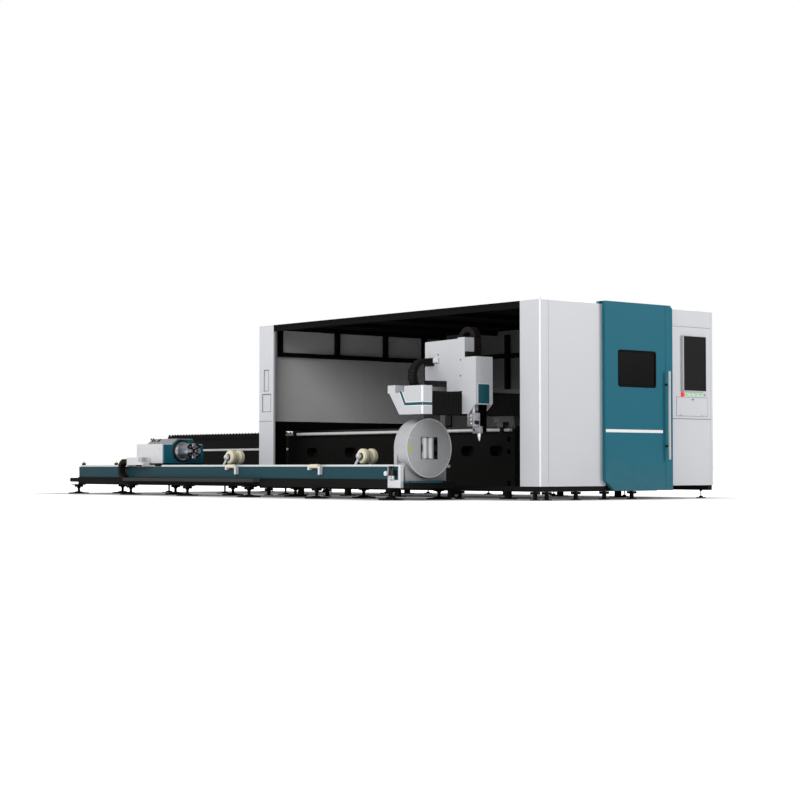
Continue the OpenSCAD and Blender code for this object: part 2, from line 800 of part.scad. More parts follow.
module pallet() {
    comb_low = 700;
    runner_z = 640;
    wheel_r = runner_z - runway_z - slide_gap;
    runner_w = 60;
    end_w = 50;
    slat_low = 780;
    slat_top = comb_top - 6;
    wheel_in = 300;
    wheels = 4;
    wheel_pitch = (pallet_l - 2 * wheel_in) / (wheels - 1);
    teeth = floor(pallet_l / comb_pitch);
    pitch = pallet_l / teeth;
    slats = teeth - 1;
    width = pallet_y1 - pallet_y0;
    place() translate([pallet_x0, pallet_y0, 0]) color(frame_black) {
        for (y = [0, width - comb_t]) along_y(y, comb_t) comb_2d(pallet_l, comb_low, comb_top);
        for (y = [0, width - runner_w]) {
            block([0, y, runner_z], [pallet_l, y + runner_w, comb_low]);
            for (i = [0:wheels - 1]) rod_y(wheel_in + i * wheel_pitch, y + 5, runner_z, wheel_r, runner_w - 10);
        }
        for (x = [0, pallet_l - end_w]) block([x, 0, runner_z], [x + end_w, width, slat_low]);
        for (i = [1:slats]) along_x(i * pitch - slat_t / 2, slat_t)
            translate([comb_t, 0]) slat_2d(width - 2 * comb_t, slat_low - 30, slat_top);
    }
}

// Door and controls

module door_panel() {
    chamfer_y = 154;
    chamfer_z = 124;
    corner_cut = 40;
    seam_y = door_w - 133;
    window_y = 230;
    rebate = 14;
    lip = 6;
    rebate_r = 36;
    place() color(teal) {
        difference() {
            along_x(door_x, door_t) translate([door_y, door_z])
                polygon([[chamfer_y, 0], [door_w, 0], [door_w, door_top - door_z - corner_cut],
                    [door_w - corner_cut, door_top - door_z], [0, door_top - door_z], [0, chamfer_z]]);
            along_x(door_x - cut, door_t + 2 * cut) translate([door_y + window_y, window_z])
                round_rect(window_w, window_h, rebate_r - rebate);
            along_x(door_x - cut, door_t - lip + cut)
                translate([door_y + window_y - rebate, window_z - rebate])
                    round_rect(window_w + 2 * rebate, window_h + 2 * rebate, rebate_r);
            block([door_face - seam_d, door_y + seam_y, door_z - cut],
                [door_face + cut, door_y + seam_y + seam_w, door_top + cut]);
        }
        block([door_x - door_flange, door_y, door_top - sheet_t], [door_x, door_y + door_w - corner_cut, door_top]);
    }
}

module door_window() {
    window_y = 230;
    rebate = 14;
    lip = 6;
    pane_t = 12;
    rebate_r = 36;
    place() color([0.05, 0.05, 0.06, 1]) along_x(door_face - lip - pane_t, pane_t)
        translate([door_y + window_y - rebate, window_z - rebate])
            round_rect(window_w + 2 * rebate, window_h + 2 * rebate, rebate_r);
}

module door_handle() {
    bar_w = 30;
    bar_y = door_y + door_w - 120;
    bar_z = 484;
    standoff_r = 14;
    standoff_in = 165;
    place() color(steel) {
        translate([0, 0, bar_z]) linear_extrude(handle_l)
            translate([door_face + handle_gap, bar_y - bar_w / 2]) round_rect(handle_bar, bar_w, 8);
        for (z = [bar_z + standoff_in, bar_z + handle_l - standoff_in])
            rod_x(door_face, bar_y, z, standoff_r, handle_gap + handle_bar / 2);
    }
}

module keyboard_flap() {
    lock_r = 9;
    lock_h = 5;
    proud = 2;
    place() color(panel_white) {
        block([proud - flap_t, console_mid - flap_w / 2, flap_z + slide_gap],
            [proud, console_mid + flap_w / 2, flap_z + flap_h]);
        rod_x(proud, console_mid, flap_z + flap_h - 24, lock_r, lock_h);
        for (s = [-1, 1]) knuckle(console_mid + s * flap_w / 3 - hinge_l / 2, hinge_l, 0, hinge_z, hinge_z + hinge_r);
    }
}

module estop() {
    cap_r = 20;
    place() color([0.80, 0.07, 0.06]) translate([0, estop_y, button_z]) rotate([0, 90, 0]) {
        translate([0, 0, -stem_l]) cylinder(r = stem_r, h = stem_l + estop_travel + 4);
        translate([0, 0, estop_travel + 2]) rotate_extrude()
            polygon([[0, 0], [cap_r - 5, 0], [cap_r, 6], [cap_r, 11], [cap_r - 6, 17], [0, 19]]);
    }
}

module push_button(i) {
    rim = 2;
    place() color([0.20, 0.62, 0.28]) translate([0, button_first_y + i * button_pitch, button_z]) rotate([0, 90, 0]) {
        translate([0, 0, -stem_l]) cylinder(r = stem_r, h = stem_l + button_travel + 4);
        translate([0, 0, button_travel + 1]) rotate_extrude()
            polygon([[0, 0], [button_r, 0], [button_r, 6], [button_r - rim, 6 + rim], [0, 6 + rim]]);
    }
}

// Gantry and head

module gantry_beam() {
    rail_half = 22;
    rail_at = [0.2, 0.8];
    arm = [beam_x0 - channel_x0, 80, 30];
    place() color(frame_black) {
        block([beam_x0, beam_y0, beam_z], [beam_x1, beam_y1, beam_top]);
        for (f = rail_at) translate([beam_x1, beam_y0, beam_z + f * beam_h - rail_half])
            cube([y_rail_t, beam_y1 - beam_y0, 2 * rail_half]);
        // Arms that carry the chain channel behind the beam
        for (y = [beam_y0 + arm[1], mid_y, beam_y1 - 2 * arm[1]]) translate([channel_x0, y, channel_z - arm[2]])
            cube(arm);
    }
}

// End of the beam in X and Z: it tapers towards the floor, and a ledge carries the chain channel
module beam_end_2d() {
    low_z = beam_z - 2;
    raise_x = beam_x0 + 97;
    ledge_z = channel_z + 9;
    polygon([[bellows_front, low_z], [bellows_front, beam_top + 75], [raise_x, beam_top + 75],
        [raise_x - 8, ledge_z], [channel_x0 + 30, channel_z], [beam_x0, low_z]]);
}

module beam_covers() {
    y0 = -beam_reach;
    far_l = 60;
    lip = 12;
    place() color(panel_white) {
        along_y(y0, end_cover_l) beam_end_2d();
        along_y(beam_y1, far_l) beam_end_2d();
        // Chain channel, open at the top
        difference() {
            block([channel_x0, y0, channel_z], [channel_x1, beam_y1 + far_l, channel_top]);
            block([channel_x0 + sheet_t, y0 + lip, channel_z + sheet_t],
                [channel_x1 - sheet_t, beam_y1 + far_l - lip, channel_top + cut]);
        }
    }
}

// Pleated sheet between y0 and y1: a zigzag front with a folded strip over the beam
module bellows(y0, y1) {
    folds = round((y1 - y0) / pleat);
    p = (y1 - y0) / folds;
    depth = 16;
    over = 90;
    strip_t = 12;
    translate([0, 0, beam_z]) linear_extrude(beam_h + strip_t)
        polygon([[bellows_x, y0], [bellows_front - depth, y0],
            for (i = [0:folds - 1]) each [[bellows_front, y0 + (i + 0.5) * p], [bellows_front - depth, y0 + (i + 1) * p]],
            [bellows_x, y1]]);
    block([bellows_x - over, y0, beam_top + 1], [bellows_x, y1, beam_top + strip_t]);
}

module beam_bellows() {
    gap = 1;
    place() color([0.07, 0.07, 0.08]) {
        bellows(beam_y0, cover_y0 - gap);
        bellows(cover_y1 + gap, beam_y1);
    }
}

module saddles() {
    plate_w = 160;
    plate_t = 70;
    guide_w = 100;
    side_gap = 0.5;
    guide_h = rail_h - 10;
    lug_x = beam_x0 - 90;
    lug_y = -340;
    lug_w = 90;
    lug_z = 890;
    z0 = beam_z - plate_t;
    guide_z = rail_top - guide_h;
    place() color(chuck_grey) {
        for (y = x_rail_y) difference() {
            union() {
                block([beam_x0, y - plate_w / 2, z0], [beam_x1 - 30, y + plate_w / 2, beam_z]);
                for (x = [beam_x0 + 20, beam_x1 - 50 - guide_w])
                    block([x, y - guide_w / 2, guide_z], [x + guide_w, y + guide_w / 2, z0]);
            }
            block([beam_x0 - cut, y - rail_w / 2 - side_gap, guide_z - cut],
                [beam_x1 + cut, y + rail_w / 2 + side_gap, rail_top + side_gap]);
        }
        // Hanging bracket on the back of the beam
        block([lug_x, lug_y, lug_z], [beam_x0, lug_y + lug_w, beam_z + 90]);
    }
}

module head_cover() {
    step_x0 = -940;
    step_x1 = -820;
    step_top = cover_rear_top + 28;
    column_w = 150;
    rear_low = 1419;
    rear_x = -1141;
    over_z = beam_top + 20;
    front_low = 1138;
    chamfer_x = 140;
    lift_gap = 6;
    leg_room = chain_t / 2 + 9;
    leg_low = 1480;
    notch_x = beam_chain_x + beam_chain_w + 12;
    notch_z = [beam_chain_z + beam_chain_r - chain_t / 2 - 40, beam_chain_z + beam_chain_r + chain_t / 2 + 12];
    notch_d = 220;
    place() color(panel_white) difference() {
        union() {
            // Front box with the chamfered mouth
            along_y(cover_y0, cover_w) polygon([[cover_back, cover_z], [-cover_front - chamfer_x, cover_z],
                [-cover_front, front_low], [-cover_front, cover_front_top], [step_x1, cover_front_top],
                [cover_back, cover_front_top]]);
            // Rear box over the beam, with its sloping top
            along_y(cover_y0, cover_w) polygon([[step_x1, over_z], [step_x1, cover_rear_top + 14],
                [step_x0, cover_rear_top + 14], [-cover_rear, cover_rear_top], [-cover_rear, rear_low + 20],
                [rear_x, rear_low], [rear_x, over_z]]);
            // Raised column beside the lift chain
            block([step_x0, cover_y0, cover_rear_top], [step_x1, cover_y0 + column_w, step_top]);
        }
        // Room for the cutting head's slide
        block([cover_back + cover_t, cover_y0 + cover_t, cover_z - cut],
            [-cover_front - cover_t, cover_y1 - cover_t, cover_front_top - cover_t]);
        // Slots for the two legs of the lift chain
        for (s = [-1, 1]) translate([lift_chain_x + s * lift_chain_r, lift_y0 - lift_gap, 0])
            block([-leg_room, 0, leg_low], [leg_room, lift_w + 2 * lift_gap, step_top + cut]);
        // The front leg runs down an open corner
        translate([lift_chain_x + lift_chain_r, lift_y0 - lift_gap, 0])
            block([-leg_room, 0, cover_front_top], [leg_room, cover_w, step_top + cut]);
        // Notch that takes the beam chain
        block([-cover_rear - cut, cover_y0 - cut, notch_z[0]], [notch_x, cover_y0 + notch_d, notch_z[1]]);
    }
}

module head_carriage() {
    side = 20;
    plate_z = [beam_z + 10, beam_top - 6];
    place() color(chuck_grey) block([bellows_x, cover_y0 + side, plate_z[0]], [cover_back, cover_y1 - side, plate_z[1]]);
}

module cutting_head() {
    x = -nozzle_front;
    tip_r = 4;
    neck_r = 24;
    foot = [90, 82, 84];
    foot_z = 90;
    optics = [110, 104, 158];
    optics_z = foot_z + foot[2];
    optics_at = [-104, -98];
    collimator_r = 34;
    collimator_l = 180;
    drive_w = 60;
    drive_y = head_y + 48;
    drive_x = x - 74;
    drive_z = 800;
    slide_z = [1060, 1400];
    plate_x = cover_back + cover_t + slide_gap;
    place() color(steel) {
        translate([x, head_y, nozzle_z]) {
            // Nozzle, sensor ring and nozzle holder
            cylinder(r1 = tip_r, r2 = 15, h = 30);
            translate([0, 0, 30]) cylinder(r = 18, h = 20);
            translate([0, 0, 50]) cylinder(r1 = 19, r2 = neck_r, h = foot_z - 50);
            // Cover glass housing, and the optics block over it
            translate([-62, -52, foot_z]) cube(foot);
            translate([optics_at[0], optics_at[1], optics_z]) cube(optics);
            translate([-48, -60, foot_z + 26]) cube([40, 10, 36]);
            translate([optics_at[0] / 2, optics_at[1] / 2, optics_z + optics[2]])
                cylinder(r = collimator_r, h = collimator_l);
        }
        // Side drive box and the slide plate inside the cover
        block([drive_x, drive_y, drive_z], [x + 10, drive_y + drive_w, slide_z[0] + 70]);
        block([plate_x, head_y - drive_w, slide_z[0]], [drive_x, drive_y + drive_w, slide_z[1]]);
        block([drive_x, head_y - 54, slide_z[0]], [x - 30, head_y + 14, slide_z[0] + 120]);
    }
}

module lift_chain() {
    leg_l = 380;
    place() color(frame_black) translate([lift_chain_x, lift_y0 + lift_w, lift_chain_z]) rotate([90, 0, 0]) {
        chain_arc(lift_chain_r, lift_w, 0, 180, chain_t);
        for (s = [-1, 1]) translate([s * lift_chain_r - 0.3 * chain_t, -leg_l, 0.1 * lift_w])
            cube([0.6 * chain_t, leg_l, 0.8 * lift_w]);
    }
}

module beam_chain_loop() {
    run_l = cover_y0 - beam_chain_y - 4;
    low_l = 120;
    place() color(frame_black) translate([beam_chain_x, beam_chain_y, beam_chain_z]) {
        rotate([0, 90, 0]) chain_arc(beam_chain_r, beam_chain_w, 180, 180, chain_t);
        translate([0.1 * beam_chain_w, 0, beam_chain_r - 0.3 * chain_t])
            cube([0.8 * beam_chain_w, run_l, 0.6 * chain_t]);
        translate([0.1 * beam_chain_w, 0, -beam_chain_r - 0.3 * chain_t])
            cube([0.8 * beam_chain_w, low_l, 0.6 * chain_t]);
    }
}

// Tube bed

module tube_bed_beams() {
    bore_d = 22;
    inner = [tube_near_y + side_beam_w, tube_far_y - side_beam_w];
    place() color(teal) {
        for (s = [0, 1]) {
            y0 = s == 0 ? tube_near_y : inner[1];
            difference() {
                block([tube_x0, y0, side_beam_z], [tube_x1, y0 + side_beam_w, side_beam_top]);
                // Bearing bores of the swing arms' shafts
                for (i = [0:2]) rod_y(arm_pivot_x(i), s == 0 ? inner[0] - bore_d : inner[1] - cut,
                    arm_pivot_z, arm_shaft_r + run_gap, bore_d + cut);
            }
        }
    }
}

module tube_bed_base() {
    gap = 1;
    bars = 6;
    bar_w = 110;
    bar_h = 55;
    stub_h = 46;
    stub_z = 180;
    bumper_x = [tube_x0 + 45, tube_x0 + 960];
    front_bar = 60;
    inner = [tube_near_y + side_beam_w, tube_far_y - side_beam_w];
    place() color(frame_black) {
        // Side bars, lower under the headstock, and the bar across their front end
        for (y = [[tube_near_y - base_lip, inner[0]], [inner[1], tube_far_y + base_lip]]) {
            block([tube_x0, y[0], tube_base_z], [tube_x1, y[1], side_beam_z]);
            block([tube_x1, y[0], tube_base_z], [tube_base_x1, y[1], headstock_z]);
        }
        block([tube_base_x1 - front_bar, inner[0] + gap, tube_base_z], [tube_base_x1, inner[1] - gap, headstock_z]);
        block([x_low, tube_near_y, stub_z], [tube_x0, tube_near_y + side_beam_w, stub_z + stub_h]);
        for (i = [0:bars - 1]) translate([-tube_bed_near - 30 - i * foot_pitch, inner[0] + gap, tube_base_z])
            cube([bar_w, inner[1] - inner[0] - 2 * gap, bar_h]);
        // Bumpers on the near rail
        for (x = bumper_x) translate([x, tube_near_y + 20, tube_rail_top]) cube([40, 40, 30]);
    }
}

module chain_tray() {
    share = 0.439;
    h = 46;
    x1 = bed_chain_x + share * (tube_x1 - tube_x0);
    place() color(chuck_grey) difference() {
        block([bed_chain_x, tray_y0, tray_z], [x1, tray_y1, tray_z + h]);
        block([bed_chain_x - cut, tray_y0 + sheet_t, tray_z + sheet_t], [x1 + cut, tray_y1 - sheet_t, tray_z + h + cut]);
    }
}

function arm_pivot_x(i) = support_x[i] - arm_reach_up;
function arm_end_x(i) = support_up[i] ? support_x[i] : arm_pivot_x(i) + arm_l;
function arm_end_z(i) = support_up[i] ? arm_pivot_z + arm_lift : arm_pivot_z - 12;

module support_arm(i) {
    side = roller_l / 2 + 8;
    boss_r = 30;
    axle_r = 14;
    shaft_half = tube_bed_w / 2 - side_beam_w + 20;
    px = arm_pivot_x(i);
    ex = arm_end_x(i);
    ez = arm_end_z(i);
    angle = atan2(ez - arm_pivot_z, ex - px);
    bar_h = 34;
    axle_proud = 6;
    place() color(panel_white) {
        rod_y(px, tube_y - shaft_half, arm_pivot_z, arm_shaft_r, 2 * shaft_half);
        rod_y(ex, tube_y - side - arm_t - axle_proud, ez, axle_r, 2 * (side + arm_t + axle_proud));
        for (y = [tube_y - side - arm_t, tube_y + side]) along_y(y, arm_t) {
            translate([px, arm_pivot_z]) circle(boss_r);
            translate([ex, ez]) circle(boss_r);
            translate([px, arm_pivot_z]) rotate(angle) translate([0, -bar_h / 2]) square([arm_l, bar_h]);
        }
    }
}

module support_roller(i) {
    axle_r = 14;
    groove = 14;
    half = roller_l / 2;
    end_r = roller_r - 14;
    place() color(cream) translate([arm_end_x(i), tube_y, arm_end_z(i)]) rotate([90, 0, 0]) rotate_extrude()
        polygon([[axle_r + run_gap, -half], [end_r, -half], [roller_r, -half + 18], [roller_r, -half + 60],
            [roller_r - groove, -20], [roller_r - groove, 20], [roller_r, half - 60], [roller_r, half - 18],
            [end_r, half], [axle_r + run_gap, half]]);
}

module edge_rollers() {
    r = 26;
    half = 88;
    lug = 36;
    lug_d = 18;
    from_support = 460;
    rear_low = 46;
    front_low = 104;
    at_z = side_beam_top + 4;
    at_y = tube_near_y - r - 1;
    place() color(cream) for (i = [0, 1]) translate([support_x[i] + from_support, 0, 0]) {
        rod_x(-half, at_y, at_z, r, 2 * half);
        block([-half - lug, at_y - lug_d, at_z - rear_low], [-half, tube_near_y, at_z + 12]);
        block([half, at_y - lug_d, at_z - front_low], [half + lug, tube_near_y, at_z + 8]);
    }
}

// Front chuck

module front_headstock() {
    side = rotor_r - 5;
    foot_w = tube_bed_w / 2 - 30;
    apron_d = 120;
    apron_gap = 7;
    apron_top = tube_z - 180;
    lug = [36, 34, 40];
    place() color(chuck_grey) translate([0, tube_y, 0]) {
        difference() {
            union() {
                along_x(headstock_x0, headstock_t) {
                    translate([0, tube_z]) circle(side);
                    translate([-side, headstock_z]) square([2 * side, tube_z - headstock_z]);
                }
                block([headstock_x1, -foot_w, headstock_z], [headstock_x1 + apron_d, foot_w, apron_top]);
                translate([headstock_x1 + lug[0], foot_w, apron_top - lug[2]]) cube(lug);
            }
            rod_x(headstock_x0 - cut, 0, tube_z, hub_r + run_gap, headstock_t + 2 * cut);
            rod_x(headstock_x1, 0, tube_z, rotor_r + apron_gap, apron_d + cut);
        }
    }
}

module front_rotor() {
    place() color(chuck_grey) translate([0, tube_y, tube_z]) difference() {
        union() {
            rod_x(rotor_x0, 0, 0, rotor_r, rotor_t);
            rod_x(headstock_x0, 0, 0, hub_r, rotor_x0 - headstock_x0);
        }
        translate([headstock_x0 - cut, -rotor_open / 2, -rotor_open / 2])
            cube([rotor_x1 - headstock_x0 + 2 * cut, rotor_open, rotor_open]);
        // Guideways of the four roller jaws
        for (i = [0:3]) rotate([i * 90, 0, 0]) translate([front_jaw_x(i) - 32, -42, 0])
            cube([64, 84, rotor_open / 2 + 90]);
    }
}

// The pair that closes sideways is nearest the face
function front_jaw_x(i) = i % 2 == 0 ? rotor_x0 + 52 : rotor_x1 - 42;

// Roller jaw: a forked slide with one roller across the opening
module front_jaw(i) {
    gap = 0.5;
    roller_half = rotor_open / 2 - 12;
    back_z = jaw_roller_at + jaw_roller_r + 2;
    place() color(steel) translate([0, tube_y, tube_z]) rotate([i * 90, 0, 0]) translate([front_jaw_x(i), 0, 0]) {
        rod_y(0, -roller_half, jaw_roller_at, jaw_roller_r, 2 * roller_half);
        block([-14, -roller_half - 8, back_z - 10], [14, roller_half + 8, back_z + 10]);
        for (s = [-1, 1]) translate([0, s * (roller_half + 4), 0])
            block([-14, -4, jaw_roller_at - 14], [14, 4, back_z + 10]);
        block([-32 + gap, -42 + gap, back_z + 10], [32 - gap, 42 - gap, rotor_open / 2 + 20]);
    }
}

module air_unit() {
    x0 = tube_x1;
    x1 = x0 + 238;
    y1 = tube_near_y - base_lip;
    depth = 45;
    y0 = y1 - depth;
    z0 = 146;
    z1 = 418;
    post = [26, 44];
    recess_z = [z0 + 92, z1 - 20];
    recess_d = 37;
    mid_x = x0 + 62;
    pitch = 46;
    body_z = 350;
    place() color(panel_white) {
        // Bracket with a recessed back
        difference() {
            block([x0, y0, z0], [x1, y1, z1]);
            block([x0 + post[0], y0 - cut, recess_z[0]], [x1 - post[1], y0 + recess_d, recess_z[1]]);
        }
        // Two regulators with bowls, and a gauge
        for (s = [0, 1]) translate([mid_x + s * pitch, y0 - 6, 0]) {
            translate([-20, -20, body_z - 60]) cube([40, recess_d + 30, 62]);
            translate([0, 0, body_z - 108]) cylinder(r = 17, h = 50);
            translate([0, 0, body_z + 2]) cylinder(r = 15, h = 34);
        }
        translate([mid_x - 40, y0 - 58, body_z - 34]) rotate([-90, 0, 0]) cylinder(r = 27, h = 26);
        block([mid_x - 40, y0 - 34, body_z - 46], [mid_x - 10, y0 - 14, body_z - 22]);
    }
}

// Rear chuck

// Outline of the carriage in Y and Z, grown outwards by g
module carriage_outline(g) {
    hump = [153, 247, 485];
    hump_r = 26;
    round_r = 44;
    top = carriage_shoulder + 75 + g;
    near = carriage_shoulder + g;
    far = carriage_shoulder + 4 + g;
    right = carriage_y1 + g;
    hump_end = carriage_y0 + hump[2] + g;
    polygon([[carriage_y0 - g, carriage_top], [carriage_y0 - g, near], [carriage_y0 + hump[0], near],
        [carriage_y0 + hump[1], top],
        for (a = [90:-15:0]) [hump_end + hump_r * cos(a), top - hump_r + hump_r * sin(a)],
        [hump_end + hump_r, far],
        for (a = [90:-10:0]) [right - round_r + round_r * cos(a), far - round_r + round_r * sin(a)],
        [right, carriage_top]]);
}

module rear_base() {
    shoe = [140, 60, tube_rail_h - 4];
    inset = 20;
    rail_clear = 0.5;
    rail_y = [tube_near_y + inset, tube_far_y - inset - 40];
    place() color(frame_black) difference() {
        union() {
            block([carriage_x0 - 20, tube_near_y - 20, carriage_z], [plate_x1, carriage_y1 + 10, carriage_top]);
            for (y = rail_y, x = [carriage_x0 + 20, plate_x1 - 20 - shoe[0]])
                translate([x, y - 10, carriage_z - shoe[2]]) cube(shoe);
        }
        for (y = rail_y) block([carriage_x0 - 100, y - rail_clear, carriage_z - 100],
            [plate_x1 + 100, y + 40 + rail_clear, carriage_z]);
    }
}

module rear_body() {
    box_l = 380;
    box_h = 80;
    shoe_l = 440;
    tail_room = 0.3 * bed_chain_t + 5;
    place() color(panel_white) {
        difference() {
            along_x(carriage_x0, carriage_l) intersection() {
                carriage_outline(0);
                translate([carriage_y0, carriage_top])
                    square([carriage_y1 - carriage_y0, carriage_shoulder - carriage_top]);
            }
            rod_x(plate_x0 - 200, tube_y, tube_z, spindle_r + 4, 200 + cut);
        }
        // Valve box on the near side, open for the chain's tail, on a shoe plate
        difference() {
            block([carriage_x0, tray_y0, carriage_top], [carriage_x0 + box_l, carriage_y0 + cut, carriage_top + box_h]);
            block([carriage_x0 - cut, tray_y0 + sheet_t, bed_tail_z - tail_room],
                [carriage_x0 + box_l - 20, tray_y1 - sheet_t, bed_tail_z + tail_room]);
        }
        block([carriage_x0, tray_y0, carriage_z], [carriage_x0 + shoe_l, tube_near_y - 21, carriage_top]);
    }
}

module rear_face_plate() {
    place() color(teal) difference() {
        along_x(plate_x0, face_plate_t) carriage_outline(-plate_inset);
        rod_x(plate_x0 - cut, tube_y, tube_z, spindle_r + run_gap, face_plate_t + 2 * cut);
    }
}

module rear_top_cover() {
    cover_l = 640;
    place() color(chuck_grey) along_x(plate_x0 - cover_l, cover_l) intersection() {
        carriage_outline(0);
        translate([carriage_y0, carriage_shoulder]) square([carriage_y1 - carriage_y0, 200]);
    }
}

module rear_barrel() {
    ring_r = barrel_r + 21;
    ring_t = 26;
    slot_d = 18;
    slot_gap = 0.3;
    bore_r = 34;
    place() color(steel) translate([0, tube_y, tube_z]) difference() {
        union() {
            rod_x(plate_x0 - 180, 0, 0, spindle_r, barrel_x0 - plate_x0 + 190);
            rod_x(barrel_x0, 0, 0, ring_r, ring_t);
            rod_x(barrel_x0 + ring_t, 0, 0, barrel_r, barrel_l - ring_t);
        }
        rod_x(plate_x0 - 400, 0, 0, bore_r, 1200);
        for (i = [0:3]) rotate([i * 90, 0, 0])
            translate([barrel_x1 - slot_d, -jaw_w / 2 - slot_gap, 0]) cube([slot_d + cut, jaw_w + 2 * slot_gap, barrel_r + cut]);
    }
}

module rear_jaw(i) {
    r0 = jaw_travel + jaw_w / 2 + 4;
    r1 = barrel_r - 6;
    tongue = 17.5;
    out = 42;
    step = 20;
    place() color(steel) translate([0, tube_y, tube_z]) rotate([i * 90, 0, 0]) {
        block([barrel_x1 - tongue, -jaw_w / 2, r0], [barrel_x1 + step, jaw_w / 2, r1]);
        block([barrel_x1 + step, -jaw_w / 2, r0], [barrel_x1 + out, jaw_w / 2, r0 + 30]);
    }
}

module bed_chain_loop() {
    run_l = 152;
    place() color(frame_black) translate([bed_chain_x, (tray_y0 + tray_y1 + bed_chain_w) / 2, bed_chain_z])
        rotate([90, 0, 0]) {
            chain_arc(bed_chain_r, bed_chain_w, 90, 180, bed_chain_t);
            translate([0, bed_chain_r - 0.3 * bed_chain_t, 0.1 * bed_chain_w])
                cube([run_l, 0.6 * bed_chain_t, 0.8 * bed_chain_w]);
        }
}

roof();
cabin_frame();
far_wall();
end_wall();
corner_posts();
front_wall();
operator_console();
monitor();
base_frame();
machine_feet();
bed_walls();
bed_cross();
guide_rails();
exchange_frame();
tube_bed_beams();
tube_bed_base();
chain_tray();
front_headstock();
air_unit();
edge_rollers();
door_panel();
door_window();
door_handle();
keyboard_flap();
estop();
push_button(0);  // push_button_1
push_button(1);  // push_button_2
push_button(2);  // push_button_3
push_button(3);  // push_button_4
pallet();
gantry_beam();
beam_covers();
beam_bellows();
saddles();
head_cover();
head_carriage();
cutting_head();
lift_chain();
beam_chain_loop();
rear_base();
rear_body();
rear_face_plate();
rear_top_cover();
bed_chain_loop();
rear_barrel();
rear_jaw(0);  // rear_jaw_1
rear_jaw(1);  // rear_jaw_2
rear_jaw(2);  // rear_jaw_3
rear_jaw(3);  // rear_jaw_4
front_rotor();
front_jaw(0);  // front_jaw_1
front_jaw(1);  // front_jaw_2
front_jaw(2);  // front_jaw_3
front_jaw(3);  // front_jaw_4
support_arm(0);  // support_arm_1
support_arm(1);  // support_arm_2
support_arm(2);  // support_arm_3
support_roller(0);  // support_roller_1
support_roller(1);  // support_roller_2
support_roller(2);  // support_roller_3
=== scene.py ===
"""Finishes, trim and studio for a laser cutting machine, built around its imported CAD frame.

Lengths in the pieces' code are in millimetres from the drawing datum: the cabin's near front corner
on the floor, with X towards the operator and -Y towards the tube bed. at() turns them into the row frame.
"""

import math

import bmesh
import bpy
import numpy as np
from bpy.props import FloatProperty, FloatVectorProperty, IntProperty, PointerProperty
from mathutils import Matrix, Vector


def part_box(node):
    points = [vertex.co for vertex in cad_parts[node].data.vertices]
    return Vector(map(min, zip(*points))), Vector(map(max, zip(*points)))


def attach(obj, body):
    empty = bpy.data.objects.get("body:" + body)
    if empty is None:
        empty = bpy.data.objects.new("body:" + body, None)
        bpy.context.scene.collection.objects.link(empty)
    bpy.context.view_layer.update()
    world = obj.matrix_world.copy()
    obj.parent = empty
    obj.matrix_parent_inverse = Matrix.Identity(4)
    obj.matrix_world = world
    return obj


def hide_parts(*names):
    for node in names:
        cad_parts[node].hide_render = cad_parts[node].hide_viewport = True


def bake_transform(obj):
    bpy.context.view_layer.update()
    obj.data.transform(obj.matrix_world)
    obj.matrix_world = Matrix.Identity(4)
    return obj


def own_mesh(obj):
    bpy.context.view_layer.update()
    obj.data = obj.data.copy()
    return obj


bl_info = {
    "name": "Laser Cutting Machine",
    "version": (1, 0, 0),
    "blender": (4, 5, 0),
    "location": "View3D > Sidebar > Machine",
    "description": "Finishes, trim and studio of a sheet and tube laser cutter",
    "category": "Object",
}

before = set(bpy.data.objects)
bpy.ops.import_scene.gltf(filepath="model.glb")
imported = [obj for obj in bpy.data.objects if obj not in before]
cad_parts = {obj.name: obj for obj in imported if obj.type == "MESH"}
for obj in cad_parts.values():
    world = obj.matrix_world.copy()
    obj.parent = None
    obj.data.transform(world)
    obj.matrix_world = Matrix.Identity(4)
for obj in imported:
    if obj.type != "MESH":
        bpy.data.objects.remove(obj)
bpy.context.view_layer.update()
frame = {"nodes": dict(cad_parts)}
NODES = frame["nodes"]
MM = 0.001
DATUM = np.array([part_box("front_wall")[1].x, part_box("corner_posts")[0].y, 0.0])
X_AXIS = np.array([1.0, 0.0, 0.0])
Y_AXIS = np.array([0.0, 1.0, 0.0])
Z_AXIS = np.array([0.0, 0.0, 1.0])
BLACK = (0.006, 0.006, 0.006)
GROUPS = {}
MATERIALS = {}

